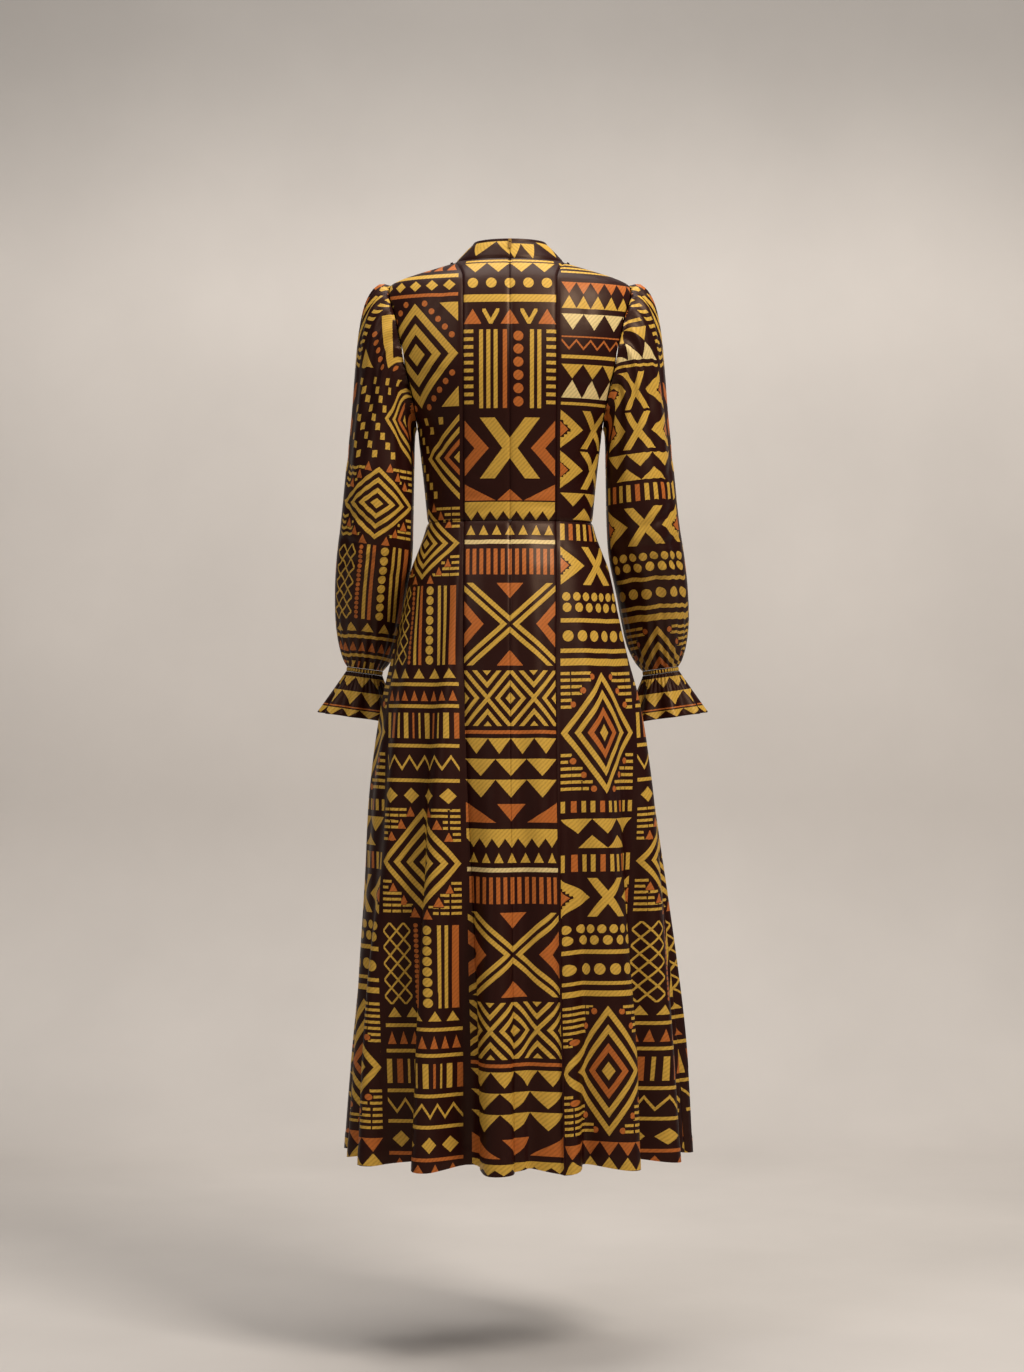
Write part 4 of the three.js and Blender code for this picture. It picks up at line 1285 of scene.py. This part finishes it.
def cuff_sheet(part, side, columns, rows, start, length, flare, wave, chart, rests_on, held="gathered"):
    """A ring of cloth below the wrist, as a sheet with a chart of its own."""
    turns = np.linspace(0, 2 * math.pi, columns, endpoint=False)
    shares = np.linspace(0, 1, rows)
    grid = cuff_rings(side, turns, shares, start, length, flare, wave)
    u = around_back(grid, turns)
    v = np.broadcast_to(shares[:, None] * length, u.shape)
    return ring_sheet(part, (grid, u, 0 * u, None), v, [chart], side, held)


def arm(side):
    way = "left" if side > 0 else "right"
    band = f"cuff_band_{way}"
    ridges = 6 * BAND_RIDGES
    spot = dict(start=SEAM, length=BAND_HEIGHT, flare=even, wave=band_wave, chart=BAND_CHART)
    elastic = cuff_sheet(band, side, ridges, 7, rests_on=[], held="part of another", **spot)
    points, u, v, relief, normal = arm_surface(side)
    charts = [LEFT_CHART if side > 0 else RIGHT_CHART, CENTRE_CHART]
    grids, down = (points, u, relief, normal), v + SLEEVE_PRINT_DOWN
    ring_sheet(f"sleeve_{way}", grids, down, charts, side)
    spot = dict(length=RUFFLE_LENGTH, flare=flared, wave=ruffle_wave, chart=RUFFLE_CHART)
    start = 2 * SEAM + BAND_HEIGHT
    cuff_sheet(f"cuff_ruffle_{way}", side, 24 * RUFFLE_WAVES, 34, start, rests_on=[band], **spot)


arm(1)
arm(-1)

# %% [markdown]
# # Collar and zip
# The collar is a short funnel that stands on the neck seam, open down its back by a narrow gap for the
# zip. The zip's slider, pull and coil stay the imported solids, because their edges are already as sharp
# as such small stampings are, and they get a brass and a nylon material.


# %% Collar
COLLAR_DOWN = 30.0  # how far the print runs down the collar
COLLAR_SPREAD = 1.2  # the way round the collar's middle for one round its top edge


def neck_seam(turn):
    front = np.minimum(0, np.cos(turn))
    z = NECK_Z - NECK_FRONT_DROP * front**2
    x = NECK_HALF * np.sin(turn)
    around = math.pi - np.arcsin(np.clip(x / at_height(BODICE, "half", z), -1, 1))
    return oval(BODICE, np.where(np.cos(turn) >= 0, turn, around), z)


def collar_points(turn, share):
    front = np.minimum(0, np.cos(turn)) ** 2
    top = np.stack(
        [
            COLLAR_TOP["half"] * np.sin(turn),
            COLLAR_TOP["y"] + COLLAR_TOP["depth"] * np.cos(turn),
            COLLAR_TOP["z"] - COLLAR_TOP["front_drop"] * front,
        ],
        -1,
    )
    return neck_seam(turn) + (top - neck_seam(turn)) * share[..., None]


collar_turn = spaced(0, 360, 3) * math.pi / 180
collar_share = 1 - spaced(0, COLLAR_DOWN, 2.5) / COLLAR_DOWN
turn_grid, share_grid = np.broadcast_arrays(collar_turn[None, :], collar_share[:, None])
collar_grid = draw_in(collar_points(turn_grid, share_grid), distance=SEAM)
collar_u = turn_grid * COLLAR_TOP["half"] * COLLAR_SPREAD
collar_v = (1 - share_grid) * COLLAR_DOWN
collar_relief = 0.5 * pinch(collar_v - 4) + pinch(share_grid * COLLAR_DOWN)
built = build_sheet("collar", collar_grid, collar_u, collar_v, collar_relief, [CENTRE_CHART, RIGHT_CHART])
finish_sheet(built, "collar", "hung")


# %% Zip
def brass():
    """Stamped brass with a worn, slightly dull polish."""
    material, tree, shader = new_material("brass, stamped and tumbled", "#7d5c2e", Metallic=1.0)
    wear = noise(tree, own_place(tree), 900.0, 3.0)
    tree.links.new(spread(tree, wear, 0.32, 0.5), shader.inputs["Roughness"])
    return material


COIL_PITCH = 1.1 * MM


def nylon_coil():
    """A dyed nylon coil, with a ridge for each turn."""
    material, tree, shader = new_material("nylon, extruded and coiled", "#2c1b16", Roughness=0.4)
    along = add_node(tree, "ShaderNodeSeparateXYZ", [own_place(tree)]).outputs[2]
    turning = [along, 2 * math.pi / COIL_PITCH]
    angle = add_node(tree, "ShaderNodeMath", turning, operation="MULTIPLY").outputs[0]
    ridge = add_node(tree, "ShaderNodeMath", [angle], operation="SINE").outputs[0]
    add_bump(tree, shader, ridge, 0.6, 0.0004)
    return material


metal = brass()
ZIP_FINISHES = {
    "zip_slider": ("zip_metal", metal),
    "zip_pull": ("zip_metal", metal),
    "zip_coil": ("zip_coil", nylon_coil()),
}
for node, (slot, finish) in ZIP_FINISHES.items():
    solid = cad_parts[node]
    solid.data.materials.clear()
    solid.data.materials.append(finish)
print("zip nodes with new materials:", len(ZIP_FINISHES))

# %% [markdown]
# # The photograph's room
# The dress hangs in the air as if worn, in front of a pale warm backdrop that curves into the floor.
# Large area lights stand for a studio's soft boxes, the strongest at the image's right. The camera
# looks level from behind, from about four metres, so the skirt is hardly narrowed with height.

# %% Backdrop, floor, lights and camera
FLOOR_Z, BACKDROP_Y, SWEEP = -1.56, -2.4, 0.7
ROOM_HALF, ROOM_FRONT, ROOM_TOP = 6.0, 8.0, 4.5
PAPER = "#c9c2bb"
PAPER_MOTTLE = 0.105  # the most that the paper's cloudy paint strays from its colour
# painted shade: the wall's colour is darkened towards its top, in place of light that falls off there
PAPER_PAINTED_SHADE = {"start": 0.2, "end": 1.0, "share": 0.5}  # the wall darkens towards its top
CAMERA_PLACE = (-0.003, 4.2, -0.596)
LENS = 76.0
ROOM_MIDDLE = (0, -0.1, -0.6)


def coated_paper():
    """Matte paper, painted a little cloudy, with painted shade that darkens it towards the top of the wall.
    From behind it is clear, so that the dress's front is seen.
    """
    material, tree, shader = new_material("paper, coated matte", Roughness=0.9)
    place = own_place(tree)
    mottle = spread(tree, noise(tree, place, 2.4, 6.0), 1 - PAPER_MOTTLE, 1 + PAPER_MOTTLE)
    height = add_node(tree, "ShaderNodeSeparateXYZ", [place]).outputs["Z"]
    painted_shade_range = (1.0, PAPER_PAINTED_SHADE["share"], PAPER_PAINTED_SHADE["start"], PAPER_PAINTED_SHADE["end"])
    # painted shade: the paper's colour is scaled down with height up the wall
    fade = spread(tree, height, *painted_shade_range, interpolation_type="SMOOTHSTEP")
    shade = add_node(tree, "ShaderNodeMath", [mottle, fade], operation="MULTIPLY").outputs[0]
    shaded = {"Vector": linear(PAPER), "Scale": shade}
    tint = add_node(tree, "ShaderNodeVectorMath", shaded, operation="SCALE").outputs[0]
    tree.links.new(tint, shader.inputs["Base Color"])
    behind = add_node(tree, "ShaderNodeNewGeometry").outputs["Backfacing"]
    clear = add_node(tree, "ShaderNodeBsdfTransparent").outputs[0]
    seen = add_node(tree, "ShaderNodeMixShader", [behind, shader.outputs[0], clear]).outputs[0]
    tree.links.new(seen, tree.nodes["Material Output"].inputs["Surface"])
    return material


def sweep():
    """One curved sheet of paper: the floor, a quarter circle and the wall behind."""
    arc = np.linspace(0, QUARTER, 24)
    y = [ROOM_FRONT, *(BACKDROP_Y + SWEEP - SWEEP * np.sin(arc)), BACKDROP_Y]
    z = [FLOOR_Z, *(FLOOR_Z + SWEEP - SWEEP * np.cos(arc)), ROOM_TOP]
    corners = [(way * ROOM_HALF, b, c) for b, c in zip(y, z) for way in (1, -1)]
    faces = [(2 * i, 2 * i + 1, 2 * i + 3, 2 * i + 2) for i in range(len(y) - 1)]
    mesh = bpy.data.meshes.new("backdrop")
    mesh.from_pydata(corners, [], faces)
    mesh.shade_smooth()
    paper = bpy.data.objects.new("backdrop", mesh)
    bpy.context.collection.objects.link(paper)
    mesh.materials.append(coated_paper())


LIGHTS = [
    dict(name="key", place=(-1.7, 2.0, 1.8), size=1.1, power=100, colour="#fffaf4"),
    dict(name="fill", place=(2.4, 2.7, 1.6), size=1.2, power=27, colour="#f8f8ff"),
    dict(name="top", place=(0.1, 0.5, 2.2), size=2.0, power=24, colour="#fffdfa"),
    dict(name="wall", place=(-0.1, -0.6, 2.2), size=2.4, power=66, colour="#fffdfa", aim=(0, -2.4, -0.4)),
]


def add_light(name, place, size, power, colour, aim=ROOM_MIDDLE):
    lamp = bpy.data.lights.new(name, "AREA")
    lamp.size = size
    lamp.energy = power
    lamp.color = linear(colour)
    holder = bpy.data.objects.new(name, lamp)
    holder.location = place
    holder.rotation_euler = (Vector(place) - Vector(aim)).to_track_quat("Z", "Y").to_euler()
    bpy.context.collection.objects.link(holder)


sweep()
for light in LIGHTS:
    add_light(**light)
world = bpy.data.worlds.new("studio air")
world.use_nodes = True
world.node_tree.nodes["Background"].inputs["Color"].default_value = (*linear("#ebebeb"), 1)
world.node_tree.nodes["Background"].inputs["Strength"].default_value = 0.12
bpy.context.scene.world = world
camera_data = bpy.data.cameras.new("camera")
camera_data.lens = LENS
camera_data.sensor_width = 36
camera_data.sensor_fit = "AUTO"
camera = bpy.data.objects.new("camera", camera_data)
camera.location = CAMERA_PLACE
camera.rotation_euler = (QUARTER, 0, math.pi)
bpy.context.collection.objects.link(camera)
bpy.context.scene.camera = camera
bpy.context.scene.view_settings.view_transform = "Standard"
